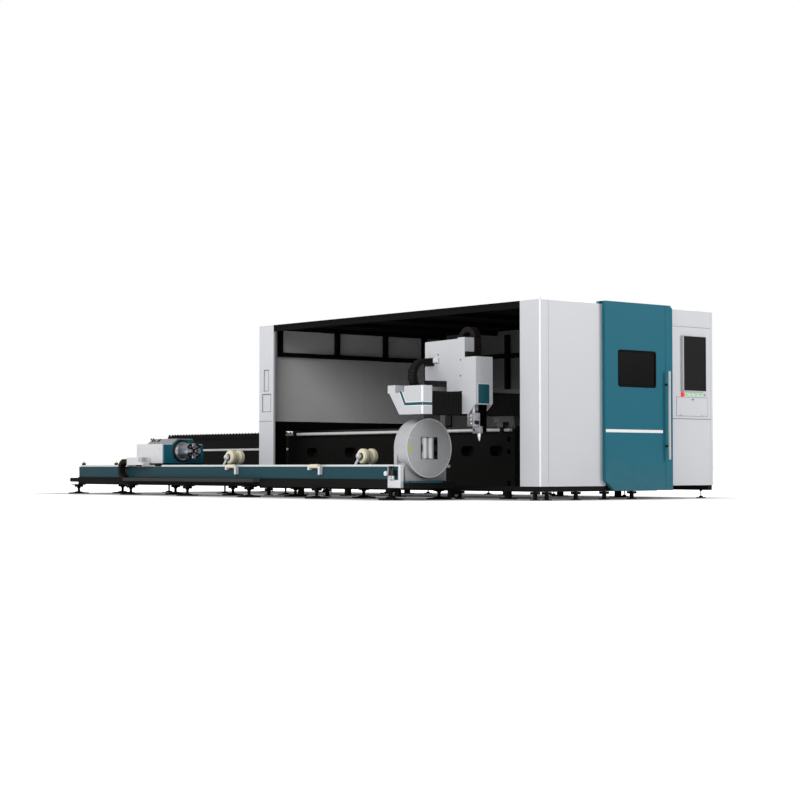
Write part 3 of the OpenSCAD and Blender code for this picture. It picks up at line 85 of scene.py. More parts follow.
# The CAD nodes that each finish goes on
COATS = {
    "post paint": ["corner_posts"],
    "cover paint": ["beam_covers", "head_cover"],
    "end wall paint": ["end_wall"],
    "far wall paint": ["far_wall"],
    "panel paint": [
        "front_wall", "operator_console", "keyboard_flap",
        "support_arm_1", "support_arm_2", "support_arm_3",
    ],
    "frame paint": [
        "base_frame", "machine_feet", "bed_walls", "bed_cross", "exchange_frame", "tube_bed_base",
        "gantry_beam", "rear_base", "pallet", "front_jaw_1", "front_jaw_3",
    ],
    "roof paint": ["roof", "cabin_frame"],
    "door paint": ["door_panel"],
    "handle paint": ["door_handle"],
    "window pane": ["door_window"],
    "monitor shell": ["monitor"],
    "stop red": ["estop"],
    "button green": ["push_button_1", "push_button_2", "push_button_3", "push_button_4"],
    "bed paint": ["tube_bed_beams"],
    "tray paint": ["chain_tray"],
    "rail steel": ["guide_rails"],
    "saddle grey": ["saddles"],
    "machine grey": ["head_carriage", "rear_top_cover"],
    "head finish": ["cutting_head"],
    "bellows cloth": ["beam_bellows"],
    "chain plastic": ["lift_chain", "beam_chain_loop", "bed_chain_loop"],
    "air unit paint": ["air_unit"],
    "chuck paint": ["front_headstock"],
    "rotor paint": ["front_rotor"],
    "jaw steel": ["front_jaw_2", "front_jaw_4"],
    "carriage white": ["rear_body"],
    "face plate paint": ["rear_face_plate"],
    "turned steel": ["rear_barrel", "rear_jaw_1", "rear_jaw_2", "rear_jaw_3", "rear_jaw_4"],
    "roller plastic": ["support_roller_1", "support_roller_2", "support_roller_3"],
    "edge roller finish": ["edge_rollers"],
}


def at(x, y, z):
    """A point given in millimetres from the datum, in row-frame metres."""
    return DATUM + MM * np.array([x, y, z], float)


def edges_mm(node):
    """Low and high corners of a CAD node, in millimetres from the datum."""
    low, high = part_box(node)
    return (np.array(low) - DATUM) / MM, (np.array(high) - DATUM) / MM


def middle_mm(node):
    """Middle of a CAD node's box, in millimetres from the datum."""
    low, high = edges_mm(node)
    return (low + high) / 2


def on_circle(x, y, z, radius, count, first):
    """Equally spaced places on a circle about X, from a first angle in degrees."""
    angle = np.radians(np.arange(count) * 360.0 / count + first)
    return [at(x, y + radius * math.cos(a), z + radius * math.sin(a)) for a in angle]


# Settings


class MachineColours(bpy.types.PropertyGroup):
    """Paint and plastic colours, as linear values."""

    panel: FloatVectorProperty(
        name="Panels", description="Paint of the cabin panels", subtype="COLOR", default=(0.66, 0.67, 0.70)
    )
    door: FloatVectorProperty(
        name="Door", description="Paint of the sliding door", subtype="COLOR", default=(0.013, 0.150, 0.212)
    )
    bed: FloatVectorProperty(
        name="Tube bed", description="Paint of the tube bed's beams", subtype="COLOR",
        default=(0.011, 0.053, 0.070)
    )
    frame: FloatVectorProperty(
        name="Frame", description="Paint of tubes, beds and bases", subtype="COLOR",
        default=(0.0068, 0.0066, 0.0062)
    )
    chuck: FloatVectorProperty(
        name="Chuck", description="Paint of the rotor disc", subtype="COLOR", default=(0.43, 0.435, 0.445)
    )
    roller: FloatVectorProperty(
        name="Rollers", description="Plastic of the support rollers", subtype="COLOR",
        default=(0.80, 0.74, 0.55)
    )


class MachineSizes(bpy.types.PropertyGroup):
    """Sizes of the trim that a user may want to change."""

    pleat: FloatProperty(
        name="Pleat pitch", description="Pitch of the bellows' folds", unit="LENGTH", default=0.038
    )
    link: FloatProperty(
        name="Link pitch", description="Pitch of the drag chains' links", unit="LENGTH", default=0.036
    )
    round_steps: IntProperty(
        name="Round steps", description="Segments of a full circle", default=48, min=12, max=128
    )


class MachineStudio(bpy.types.PropertyGroup):
    """Camera and light."""

    lens: FloatProperty(name="Lens", description="Focal length on a 36 mm sensor", default=84.494)
    azimuth: FloatProperty(
        name="Azimuth", description="Camera heading round the machine", unit="ROTATION",
        default=math.radians(50.183)
    )
    pitch: FloatProperty(
        name="Pitch", description="Camera tilt above the horizon", unit="ROTATION",
        default=math.radians(2.0511)
    )
    front_power: FloatProperty(
        name="Front light", description="Power of the light at the door end", default=1000.0
    )
    side_power: FloatProperty(
        name="Side light", description="Power of the light along the open side", default=1130.0
    )
    far_power: FloatProperty(
        name="Far light", description="Power of the light beyond the far wall", default=400.0
    )
    ambient: FloatProperty(name="Ambient", description="Strength of the world's light", default=0.30)


def colours():
    """The scene's colour settings."""
    return bpy.context.scene.machine_colours


def sizes():
    """The scene's size settings."""
    return bpy.context.scene.machine_sizes


def studio():
    """The scene's camera and light settings."""
    return bpy.context.scene.machine_studio


# Meshes


def grid_faces(rows, columns, wrap_rows):
    """Quads of a grid of points whose columns wrap: each joins a point to its next row and column."""
    r = np.arange(rows if wrap_rows else rows - 1)
    r, c = np.meshgrid(r, np.arange(columns), indexing="ij")
    r2 = (r + 1) % rows
    c2 = (c + 1) % columns
    quads = np.stack([r * columns + c, r * columns + c2, r2 * columns + c2, r2 * columns + c], -1)
    return quads.reshape(-1, 4)


def make_piece(name, points, faces, finish, body, slot=None, sharp=35.0):
    """A mesh object from points and faces, with outward normals, riding on a CAD body.

    Spaces in its name become underscores. The slot argument is not used.
    """
    name = name.replace(" ", "_")
    mesh = bpy.data.meshes.new(name)
    mesh.from_pydata(np.asarray(points).tolist(), [], [list(f) for f in faces])
    work = bmesh.new()
    work.from_mesh(mesh)
    bmesh.ops.recalc_face_normals(work, faces=work.faces)
    work.to_mesh(mesh)
    work.free()
    mesh.polygons.foreach_set("use_smooth", np.ones(len(mesh.polygons), bool))
    mesh.set_sharp_from_angle(angle=math.radians(sharp))
    mesh.materials.append(MATERIALS[finish])
    piece = bpy.data.objects.new(name, mesh)
    bpy.context.scene.collection.objects.link(piece)
    if body:
        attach(piece, body)
    return piece


def shell(grids, wrap_rows=False, caps=True):
    """Joins several equal grids into one set of points and faces; caps close the first and last rows."""
    grids = np.asarray(grids, float)
    count, rows, columns = grids.shape[:3]
    quads = grid_faces(rows, columns, wrap_rows)
    step = rows * columns
    starts = np.arange(count) * step
    faces = (quads[None] + starts[:, None, None]).reshape(-1, 4).tolist()
    if caps:
        first = np.arange(columns)[::-1]
        last = (rows - 1) * columns + np.arange(columns)
        faces += (first[None] + starts[:, None]).tolist()
        faces += (last[None] + starts[:, None]).tolist()
    return grids.reshape(-1, 3), faces


def frame_of(normal, up=None):
    """Right and up vectors square to a normal."""
    normal = np.asarray(normal, float) / np.linalg.norm(normal)
    if up is None:
        up = Z_AXIS if abs(normal[2]) < 0.9 else X_AXIS
    right = np.cross(up, normal)
    right /= np.linalg.norm(right)
    return right, np.cross(normal, right), normal


def rounded_outline(width, height, radius, steps=6):
    """Rectangle with quarter-circle corners, as points in order round the origin."""
    angle = np.linspace(0, math.pi / 2, steps)
    arc = np.stack([np.cos(angle), np.sin(angle)], -1) * radius
    turns = np.array([[[1, 0], [0, 1]], [[0, 1], [-1, 0]], [[-1, 0], [0, -1]], [[0, -1], [1, 0]]])
    corners = np.array([[1, 1], [-1, 1], [-1, -1], [1, -1]]) * (np.array([width, height]) / 2 - radius)
    return np.concatenate([corner + arc @ turn for corner, turn in zip(corners, turns)])


def plate_grid(centre, normal, width, height, thick, radius, edge, up=None):
    """A plate: a rounded rectangle raised along its normal, with its front edge rolled over."""
    right, upward, normal = frame_of(normal, up)
    roll = np.linspace(0, math.pi / 2, 4)
    inset = np.concatenate([[0.0], edge * (1 - np.cos(roll))])
    lift = np.concatenate([[0.0], thick - edge + edge * np.sin(roll)])
    rings = []
    for shrink, rise in zip(inset, lift):
        flat = rounded_outline(width - 2 * shrink, height - 2 * shrink, max(radius - shrink, 0.01))
        rings.append(flat[:, :1] * right + flat[:, 1:] * upward + rise * normal)
    return np.asarray(centre) + MM * np.array(rings)


def plates(name, centres, normal, width, height, thick, radius, edge, finish, body, slot=None, up=None):
    """Equal plates at several places, as one piece."""
    grids = [plate_grid(c, normal, width, height, thick, radius, edge, up) for c in centres]
    return make_piece(name, *shell(grids), finish, body, slot)


def lathe_grid(centre, axis, profile, steps=None):
    """A profile of (radius, height) pairs in millimetres turned about an axis through a centre."""
    steps = steps or sizes().round_steps
    right, upward, axis = frame_of(axis)
    angle = np.linspace(0, 2 * math.pi, steps, endpoint=False)
    ring = np.cos(angle)[:, None] * right + np.sin(angle)[:, None] * upward
    profile = np.asarray(profile, float)
    return np.asarray(centre) + MM * (profile[:, :1, None] * ring[None] + profile[:, 1:, None] * axis)


def lathes(name, centres, axis, profile, finish, body, slot=None, steps=None, closed=False):
    """Equal turned shapes at several places, as one piece; closed joins the profile's ends into a ring."""
    grids = [lathe_grid(c, axis, profile, steps) for c in centres]
    return make_piece(name, *shell(grids, wrap_rows=closed, caps=not closed), finish, body, slot)


def screws(name, centres, axis, radius, finish, body):
    """Socket screws: a short turned head with a rolled edge and a sunk socket."""
    r = radius
    profile = [(r, 0), (r, 0.55 * r), (0.88 * r, 0.7 * r), (0.52 * r, 0.7 * r), (0.46 * r, 0.25 * r)]
    return lathes(name, centres, axis, profile, finish, body, steps=14)


def hex_nuts(name, centres, axis, radius, height, finish, body, slot=None):
    """Hexagon nuts: a six-sided lathe shape with a small chamfer on top."""
    profile = [(radius, 0), (radius, 0.8 * height), (0.86 * radius, height)]
    return lathes(name, centres, axis, profile, finish, body, slot, steps=6)


def box_grid(low, high, chamfer):
    """A block between two corners with chamfered edges all round, as rings of eight points along Z."""
    low, high = np.asarray(low, float), np.asarray(high, float)
    c = chamfer
    rings = []
    for z, k in ((low[2], c), (low[2] + c, 0), (high[2] - c, 0), (high[2], c)):
        x0, y0, x1, y1 = low[0] + k, low[1] + k, high[0] - k, high[1] - k
        rings.append(
            [(x0 + c, y0, z), (x1 - c, y0, z), (x1, y0 + c, z), (x1, y1 - c, z),
             (x1 - c, y1, z), (x0 + c, y1, z), (x0, y1 - c, z), (x0, y0 + c, z)]
        )
    return DATUM + MM * np.array(rings)


def boxes(name, corners, chamfer, finish, body):
    """Chamfered blocks, given as pairs of corners in datum millimetres, as one piece."""
    return make_piece(name, *shell([box_grid(low, high, chamfer) for low, high in corners]), finish, body)


def merge(parts):
    """Joins several sets of points and faces into one."""
    points = []
    faces = []
    start = 0
    for more, polygons in parts:
        points.append(np.asarray(more, float))
        faces += [[index + start for index in polygon] for polygon in polygons]
        start += len(more)
    return np.concatenate(points), faces


def ring_plates(name, places, normal, width, height, border, thick, radius, finish, body):
    """Flat frames: the band between two rounded rectangles, raised along the normal."""
    right, upward, normal = frame_of(normal)
    outer = rounded_outline(width, height, radius)
    inner = rounded_outline(width - 2 * border, height - 2 * border, max(radius - border, 0.5))
    rings = []
    for flat, rise in ((outer, 0.0), (outer, thick), (inner, thick), (inner, 0.0)):
        rings.append(flat[:, :1] * right + flat[:, 1:] * upward + rise * normal)
    grids = [np.asarray(place) + MM * np.array(rings) for place in places]
    return make_piece(name, *shell(grids, wrap_rows=True, caps=False), finish, body)


def ribbon_grid(path, width, thick, normal):
    """A flat band along a bent path: a bend's edge moves by the mitre (a + b) / (1 + a.b) of its sides."""
    path = np.asarray(path, float)
    normal = np.asarray(normal, float)
    step = np.diff(path, axis=0)
    step /= np.linalg.norm(step, axis=1, keepdims=True)
    side = np.cross(normal, step)
    last = np.concatenate([side, side[-1:]])
    mitre = np.concatenate([side[:1], side]) + last
    mitre /= np.sum(mitre * last, axis=1, keepdims=True)
    low = path - 0.5 * width * MM * mitre
    high = path + 0.5 * width * MM * mitre
    lift = thick * MM * normal
    return np.stack([low, high, high + lift, low + lift], 1)


def bend_path(centre, radius, first, last, u, v, before, after):
    """A straight run, an arc from angle first to last in the plane of u and v, and a straight run, in mm."""
    run_steps = 20
    angle = np.linspace(first, last, 90)
    arc = np.asarray(centre) + radius * (np.cos(angle)[:, None] * u + np.sin(angle)[:, None] * v)
    turn = math.copysign(1.0, last - first)
    lead = turn * (math.cos(first) * v - math.sin(first) * u)
    tail = turn * (math.cos(last) * v - math.sin(last) * u)
    start = arc[0] - np.linspace(before, 0, run_steps, endpoint=False)[:, None] * lead
    end = arc[-1] + np.linspace(after, 0, run_steps, endpoint=False)[::-1, None] * tail
    return np.concatenate([start[:run_steps * (before > 0)], arc, end[:run_steps * (after > 0)]])


def chain(name, path, side, width, height, body):
    """Drag chain: each link is two eight-sided plates with a bar between them.

    Link i sits at arc length (i + 1/2) * pitch, turned to the path's tangent. The plates of every second
    link sit inside its neighbours'.
    """
    path = np.asarray(path, float)
    side = np.asarray(side, float)
    reach = np.concatenate([[0.0], np.cumsum(np.linalg.norm(np.diff(path, axis=0), axis=1))])
    count = max(1, round(reach[-1] * MM / sizes().link))
    pitch = reach[-1] / count
    middle = (np.arange(count) + 0.5) * pitch

    def along(place):
        return np.stack([np.interp(place, reach, path[:, axis]) for axis in range(3)], -1)

    centre = along(middle)
    tangent = along(middle + 0.3 * pitch) - along(middle - 0.3 * pitch)
    tangent /= np.linalg.norm(tangent, axis=1, keepdims=True)
    normal = np.cross(tangent, side)
    eight = np.array([[0.56, 0.34], [0.46, 0.5], [-0.46, 0.5], [-0.56, 0.34],
                      [-0.56, -0.34], [-0.46, -0.5], [0.46, -0.5], [0.56, -0.34]]) * [pitch, height]
    four = np.array([[0.48, 0.46], [-0.48, 0.46], [-0.48, -0.46], [0.48, -0.46]]) * [pitch, height]
    edge = np.where(np.arange(count) % 2 == 0, 0.5, 0.48) * width
    wall = 0.07 * width

    def prism(outline, low, high):
        ahead = outline[None, :, :1] * tangent[:, None]
        flat = centre[:, None] + ahead + outline[None, :, 1:] * normal[:, None]
        return shell(np.stack([flat + low[:, None, None] * side, flat + high[:, None, None] * side], 1))

    bar = np.full(count, 0.4 * width)
    sides = [prism(eight, -edge, wall - edge), prism(eight, edge - wall, edge)]
    points, faces = merge([*sides, prism(four, -bar, bar)])
    return make_piece(name, DATUM + MM * points, faces, "chain plastic", body, sharp=20)


# Shader groups


class Net:
    """Adds nodes to a node tree and links them, one line each."""

    def __init__(self, tree):
        self.tree = tree
        self.column = 0

    def add(self, kind, **values):
        node = self.tree.nodes.new(kind)
        node.location = (self.column * 190 - 900, 0)
        self.column += 1
        for key, value in values.items():
            setattr(node, key, value)
        return node

    def feed(self, socket, source):
        if hasattr(source, "is_output"):
            self.tree.links.new(source, socket)
        else:
            socket.default_value = source

    def math(self, operation, a, b=0.0, clamp=False):
        node = self.add("ShaderNodeMath", operation=operation, use_clamp=clamp)
        self.feed(node.inputs[0], a)
        self.feed(node.inputs[1], b)
        return node.outputs[0]

    def vector(self, operation, a, b):
        node = self.add("ShaderNodeVectorMath", operation=operation)
        self.feed(node.inputs[0], a)
        self.feed(node.inputs[1], b)
        return node.outputs[0]

    def mix(self, factor, a, b):
        node = self.add("ShaderNodeMix", data_type="RGBA")
        self.feed(node.inputs["Factor"], factor)
        self.feed(node.inputs[6], a)
        self.feed(node.inputs[7], b)
        return node.outputs[2]

    def noise(self, vector, scale, detail=3.0):
        node = self.add("ShaderNodeTexNoise")
        self.feed(node.inputs["Vector"], vector)
        node.inputs["Scale"].default_value = scale
        node.inputs["Detail"].default_value = detail
        return node.outputs["Fac"]

    def place(self):
        return self.add("ShaderNodeTexCoord").outputs["Object"]

    def use(self, group, **inputs):
        node = self.add("ShaderNodeGroup")
        node.node_tree = group
        for key, value in inputs.items():
            self.feed(node.inputs[key.replace("_", " ")], value)
        return node.outputs


def new_group(name, inputs, outputs):
    """An empty shader group with named sockets; returns the group, its net, its input and its output node."""
    group = bpy.data.node_groups.new(name, "ShaderNodeTree")
    for label, kind in inputs:
        group.interface.new_socket(label, in_out="INPUT", socket_type="NodeSocket" + kind)
    for label, kind in outputs:
        group.interface.new_socket(label, in_out="OUTPUT", socket_type="NodeSocket" + kind)
    net = Net(group)
    start = net.add("NodeGroupInput")
    end = net.add("NodeGroupOutput")
    return group, net, start.outputs, end.inputs


def box_mask_group():
    """1 inside the block between two corners in object space, 0 outside."""
    group, net, given, result = new_group(
        "block mask", [("Low", "Vector"), ("High", "Vector")], [("Mask", "Float")]
    )
    place = net.place()
    above = net.vector("SUBTRACT", place, given["Low"])
    below = net.vector("SUBTRACT", given["High"], place)
    least = net.vector("MINIMUM", above, below)
    split = net.add("ShaderNodeSeparateXYZ")
    net.feed(split.inputs[0], least)
    smallest = net.math("MINIMUM", net.math("MINIMUM", split.outputs[0], split.outputs[1]), split.outputs[2])
    net.feed(result["Mask"], net.math("GREATER_THAN", smallest, 0.0))
    return group


def paint_skin_group():
    """Powder coat: broad mottle, fine orange peel, and dust that settles towards the floor."""
    group, net, given, result = new_group(
        "paint skin", [("Dust height", "Float")], [("Mottle", "Float"), ("Peel", "Float"), ("Dust", "Float")]
    )
    place = net.place()
    net.feed(result["Mottle"], net.noise(place, 1.7, 4.0))
    net.feed(result["Peel"], net.noise(place, 420.0, 2.0))
    split = net.add("ShaderNodeSeparateXYZ")
    net.feed(split.inputs[0], place)
    level = net.math("DIVIDE", split.outputs[2], given["Dust height"])
    fade = net.math("SUBTRACT", 1.0, level, clamp=True)
    patch = net.noise(place, 9.0, 6.0)
    net.feed(result["Dust"], net.math("MULTIPLY", net.math("MULTIPLY", fade, fade), patch, clamp=True))
    return group


def grinding_group():
    """Ground or brushed metal: noise stretched along one axis, as a 0 to 1 line pattern."""
    group, net, given, result = new_group(
        "grinding", [("Stretch", "Vector")], [("Lines", "Float"), ("Cloud", "Float")]
    )
    place = net.place()
    net.feed(result["Lines"], net.noise(net.vector("MULTIPLY", place, given["Stretch"]), 1.0, 3.0))
    net.feed(result["Cloud"], net.noise(place, 6.0, 4.0))
    return group


def shade(colour, factor):
    """A colour made lighter or darker by a factor."""
    return (*(min(1.0, channel * factor) for channel in colour[:3]), 1.0)


def start_material(name):
    """A material with one Principled shader."""
    material = bpy.data.materials.new(name)
    material.use_nodes = True
    net = Net(material.node_tree)
    shader = material.node_tree.nodes["Principled BSDF"]
    MATERIALS[name] = material
    return net, shader


def bump(net, shader, height, distance, strength):
    """A bump of a given depth in metres."""
    node = net.add("ShaderNodeBump")
    node.inputs["Strength"].default_value = strength
    node.inputs["Distance"].default_value = distance
    net.feed(node.inputs["Height"], height)
    net.feed(shader.inputs["Normal"], node.outputs["Normal"])


def tint(net, base, blocks):
    """Colours the blocks given as low corner, high corner and colour, in datum millimetres, over a base."""
    for low, high, colour in blocks:
        mask = net.use(GROUPS["block"], Low=tuple(at(*low)), High=tuple(at(*high)))["Mask"]
        base = net.mix(mask, base, (*colour[:3], 1.0))
    return base


def paint(name, colour, rough, blocks=(), dust=0.25, dust_height=0.9, gloss=0.5):
    """Powder-coated sheet; blocks take their own colours."""
    net, shader = start_material(name)
    skin = net.use(GROUPS["paint"], Dust_height=dust_height)
    base = tint(net, net.mix(skin["Mottle"], shade(colour, 0.95), shade(colour, 1.04)), blocks)
    dirty = net.math("MULTIPLY", skin["Dust"], dust)
    net.feed(shader.inputs["Base Color"], net.mix(dirty, base, (0.30, 0.28, 0.25, 1.0)))
    spread = net.math("MULTIPLY_ADD", skin["Mottle"], 0.14)
    spread.node.inputs[2].default_value = rough - 0.07
    net.feed(shader.inputs["Roughness"], spread)
    shader.inputs["Specular IOR Level"].default_value = gloss
    bump(net, shader, skin["Peel"], 0.0004, 0.25)


def metal(name, colour, rough, stretch, blocks=(), depth=0.00003, metallic=1.0):
    """Ground metal: brightness and gloss follow the grinding lines."""
    net, shader = start_material(name)
    grain = net.use(GROUPS["grind"], Stretch=stretch)
    base = net.mix(grain["Lines"], shade(colour, 0.94), shade(colour, 1.05))
    base = net.mix(grain["Cloud"], base, shade(colour, 0.96))
    net.feed(shader.inputs["Base Color"], tint(net, base, blocks))
    spread = net.math("MULTIPLY_ADD", grain["Lines"], 0.08)
    spread.node.inputs[2].default_value = rough - 0.04
    net.feed(shader.inputs["Roughness"], spread)
    shader.inputs["Metallic"].default_value = metallic
    bump(net, shader, grain["Lines"], depth, 0.3)


def plastic(name, colour, rough, grain_scale=900.0, blocks=(), painted_glow=None, gloss=0.5):
    """Moulded plastic with a fine spark-eroded grain."""
    net, shader = start_material(name)
    place = net.place()
    grain = net.noise(place, grain_scale, 2.0)
    cloud = net.noise(place, 5.0, 3.0)
    base = net.mix(cloud, shade(colour, 0.94), shade(colour, 1.05))
    net.feed(shader.inputs["Base Color"], tint(net, base, blocks))
    shader.inputs["Specular IOR Level"].default_value = gloss
    spread = net.math("MULTIPLY_ADD", grain, 0.12)
    spread.node.inputs[2].default_value = rough - 0.06
    net.feed(shader.inputs["Roughness"], spread)
    # painted_glow: emission that makes a plastic glow though it is no lamp
    if painted_glow:
        shader.inputs["Emission Color"].default_value = (*painted_glow[:3], 1.0)
        shader.inputs["Emission Strength"].default_value = painted_glow[3]
    bump(net, shader, grain, 0.0003, 0.2)


class MACHINE_OT_finishes(bpy.types.Operator):
    """Make the materials and put them on the CAD nodes"""

    bl_idname = "machine.finishes"
    bl_label = "Finishes"

    def execute(self, context):
        c = colours()
        GROUPS.update(block=box_mask_group(), paint=paint_skin_group(), grind=grinding_group())
        self.paints(c)
        self.part_paints(c)
        self.metals(c)
        self.plastics(c)
        for finish, nodes in COATS.items():
            for node in nodes:
                NODES[node].data.materials.clear()
                NODES[node].data.materials.append(MATERIALS[finish])
        return {"FINISHED"}

    def paints(self, c):
        """Paints of one colour all over."""
        paint("panel paint", c.panel, 0.42, dust=0.1)
        # painted light: the end wall is near white, lighter than the panels, to stand in for light the
        # cabin's inside lacks
        paint("end wall paint", (0.95, 0.95, 0.96), 0.5, dust=0.0)
        paint("carriage white", (0.70, 0.70, 0.715), 0.42, dust=0.0)
        paint("door paint", c.door, 0.45, gloss=0.1)
        paint("bed paint", c.bed, 0.42, dust=0.03, gloss=0.12)
        paint("frame paint", c.frame, 0.6, dust=0.01, gloss=0.06)
        paint("roof paint", (0.007, 0.007, 0.0065), 0.8, dust=0.0, gloss=0.03)
        paint("chuck paint", c.chuck, 0.36, dust=0.1)
        paint("machine grey", (0.34, 0.345, 0.35), 0.4, dust=0.1)
        paint("saddle grey", (0.09, 0.09, 0.092), 0.4, dust=0.02)
        paint("tray paint", (0.040, 0.036, 0.033), 0.5, dust=0.03, gloss=0.1)
        paint("face plate paint", (0.007, 0.120, 0.178), 0.36, dust=0.0, gloss=0.2)
        paint("trim teal", (0.005, 0.082, 0.108), 0.38, dust=0.0, gloss=0.2)

    def part_paints(self, c):
        """Paints with blocks of another colour: painted shade, painted corner highlights, recesses and
        stand-offs.
        """
        low, high = edges_mm("far_wall")
        # painted shade: the far wall's inner face is dark grey for the shade inside the cabin
        inner_shade = ((low[0] - 5, low[1] - 5, 0), (high[0] + 5, low[1] + 2, 3000), (0.13, 0.13, 0.132))
        paint("far wall paint", c.panel, 0.42, [inner_shade])
        highlight_white = (1.0, 1.0, 1.0)
        # painted shade: the near post's side face is the panel colour darkened to 0.86
        side = ((-800, -5, 150), (5, 20, 2400), shade(c.panel, 0.86))
        # painted highlight: a white strip down the rounded corner of the near post
        edge = ((-15, -5, 165), (5, 15, 2360), highlight_white)
        paint("post paint", c.panel, 0.42, [side, edge], dust=0.1)
        low, high = edges_mm("beam_covers")
        # painted highlight: a white strip down the beam cover's front corner
        corner = ((high[0] - 16, low[1] - 5, 0), (high[0] + 5, low[1] + 16, 1340), highlight_white)
        # painted shade: the covers are the panel colour darkened to 0.79
        paint("cover paint", shade(c.panel, 0.79), 0.42, [corner], dust=0.0)
        # painted shade: the inside of the rotor's square mouth is black for the shade in the opening
        throat_shade = ((-1388, -865, 460), (-1157, -555, 770), BLACK)
        paint("rotor paint", c.chuck, 0.36, [throat_shade], dust=0.1)
        low, high = edges_mm("door_handle")
        stand = ((low[0] - 5, low[1] - 5, 0), (high[0] - 24.5, high[1] + 5, 3000), BLACK)
        paint("handle paint", (0.62, 0.60, 0.58), 0.3, [stand], dust=0.0)
        low, high = edges_mm("air_unit")
        recess = ((low[0] + 20, -1093, 232), (high[0] - 40, -1080, 402), (0.006, 0.095, 0.125))
        blocks = ((-1420, -1160, 288), (-1290, -1084, 400), BLACK)
        gauge = ((low[0] - 5, -1185, 270), (-1378, -1150, 360), (0.75, 0.75, 0.76))
        paint("air unit paint", c.panel, 0.4, [recess, blocks, gauge], dust=0.05)

    def metals(self, c):
        """Ground and turned metals; the rails' node also holds dark runways and the door's painted track."""
        rails = [((-9000, y - 30, 840), (-900, y + 30, 960), BLACK) for y in (545, 2485)]
        rails.append(((-9000, 640, 560), (-900, 2400, 660), (0.02, 0.02, 0.02)))
        rails.append(((-200, 0, 2340), (100, 940, 2400), c.panel))
        rails.append(((-200, 940, 2340), (100, 2300, 2400), c.door))
        metal("rail steel", (0.80, 0.80, 0.80), 0.34, (3.0, 120.0, 120.0), rails, metallic=0.3)
        metal("turned steel", (0.60, 0.60, 0.62), 0.34, (200.0, 6.0, 6.0), depth=0.0)
        even = (60.0, 60.0, 60.0)
        metal("roller chrome", (0.74, 0.74, 0.76), 0.2, even, depth=0.0)
        # painted shade: the jaw carriers inside the chuck's mouth are black for the shade there
        shaded_carriers = [((-1300, y0, 400), (-1100, y1, 830), BLACK) for y0, y1 in ((-1000, -802), (-618, -400))]
        metal("jaw steel", (0.74, 0.74, 0.75), 0.3, even, shaded_carriers, depth=0.0, metallic=0.2)
        metal("head alloy", (0.66, 0.66, 0.68), 0.3, (30.0, 30.0, 160.0))
        metal("nozzle copper", (0.62, 0.54, 0.48), 0.3, (60.0, 60.0, 160.0))
        motor = ((-800, -264, 780), (-690, -190, 1140), BLACK)
        metal("head finish", (0.66, 0.66, 0.68), 0.28, (30.0, 30.0, 160.0), [motor])

    def plastics(self, c):
        """Plastics, cloth and the dark panes."""
        plastic("chain plastic", (0.009, 0.0075, 0.006), 0.6, gloss=0.1)
        plastic("roller plastic", c.roller, 0.42, 300.0)
        plastic("bellows cloth", (0.0035, 0.0035, 0.0035), 0.5, 500.0, gloss=0.12)
        # painted light: the stop and the push buttons glow though they are no lamps
        plastic("stop red", (0.90, 0.006, 0.006), 0.35, painted_glow=(0.9, 0.01, 0.01, 0.35))
        plastic("button green", (0.02, 0.50, 0.06), 0.25, painted_glow=(0.01, 0.75, 0.02, 1.0))
        plastic("black plastic", (0.008, 0.008, 0.008), 0.4, gloss=0.3)
        plastic("shadow grey", (0.10, 0.10, 0.105), 0.6, gloss=0.1)
        plastic("white plastic", (0.75, 0.75, 0.76), 0.3)
        plastic("mark yellow", (0.55, 0.52, 0.01), 0.4)
        plastic("trim white", (0.95, 0.92, 0.90), 0.4)
        low, high = edges_mm("monitor")
        glass = (0.014, 0.014, 0.014)
        screen = ((high[0] - 4, low[1] + 12, low[2] + 10), (high[0] + 5, high[1] - 5, high[2] - 9), glass)
        plastic("monitor shell", (0.60, 0.60, 0.61), 0.4, 900.0, [screen], gloss=0.04)
        plastic("window pane", (0.005, 0.005, 0.005), 0.25, 40.0, gloss=0.04)
        rollers = [((x - 88, -1200, 300), (x + 88, -1000, 460), c.roller) for x in (-4711.1, -2899.7)]
        plastic("edge roller finish", (0.70, 0.70, 0.71), 0.4, 600.0, rollers)


# Trim


class MACHINE_OT_bellows(bpy.types.Operator):
    """Pleat the cloth bellows on both sides of the head"""

    bl_idname = "machine.bellows"
    bl_label = "Bellows"

    def execute(self, context):
        low, high = edges_mm("beam_bellows")
        head_low, head_high = edges_mm("head_cover")
        near_end = head_low[1] - 1
        far_start = head_high[1] + 1
        near = self.pleats("near bellows", low, high, low[1], near_end)
        far = self.pleats("far bellows", low, high, far_start, high[1])
        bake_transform(near)
        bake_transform(far)
        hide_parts("beam_bellows")
        return {"FINISHED"}

    def pleats(self, name, low, high, y0, y1):
        """Folded cloth over the beam: p(s, t) = path(s) + depth * fold(t) * normal(s), moved along Y by t.

        fold(t) = 1 - |2 frac(t / pitch) - 1|, and the path is a right angle with a round corner.
        """
        depth = 16.0
        cloth = 2.0
        corner = 10.0
        count = max(2, round((y1 - y0) * MM / sizes().pleat))
        t = np.linspace(0, count, 4 * count + 1)
        fold = np.clip(1.3 * (1 - np.abs(2 * (t % 1.0) - 1)) - 0.15, 0, 1)
        y = y0 + (y1 - y0) * t / count
        angle = np.linspace(math.pi / 2, 0, 5)
        round_normal = np.stack([np.cos(angle), np.sin(angle)], -1)
        middle = np.array([high[0] - depth - corner, high[2] - depth - corner])
        back, foot = [low[0], high[2] - depth], [high[0] - depth, low[2]]
        path = np.concatenate([[back], middle + corner * round_normal, [foot]])
        normal = np.concatenate([[[0.0, 1.0]], round_normal, [[1.0, 0.0]]])
        outer = path + depth * fold[:, None, None] * normal
        ring = np.concatenate([outer, (outer - cloth * normal)[:, ::-1]], 1)
        points = np.stack([ring[..., 0], np.broadcast_to(y[:, None], ring.shape[:2]), ring[..., 1]], -1)
        return make_piece(name, *shell([DATUM + MM * points]), "bellows cloth", None, sharp=20)


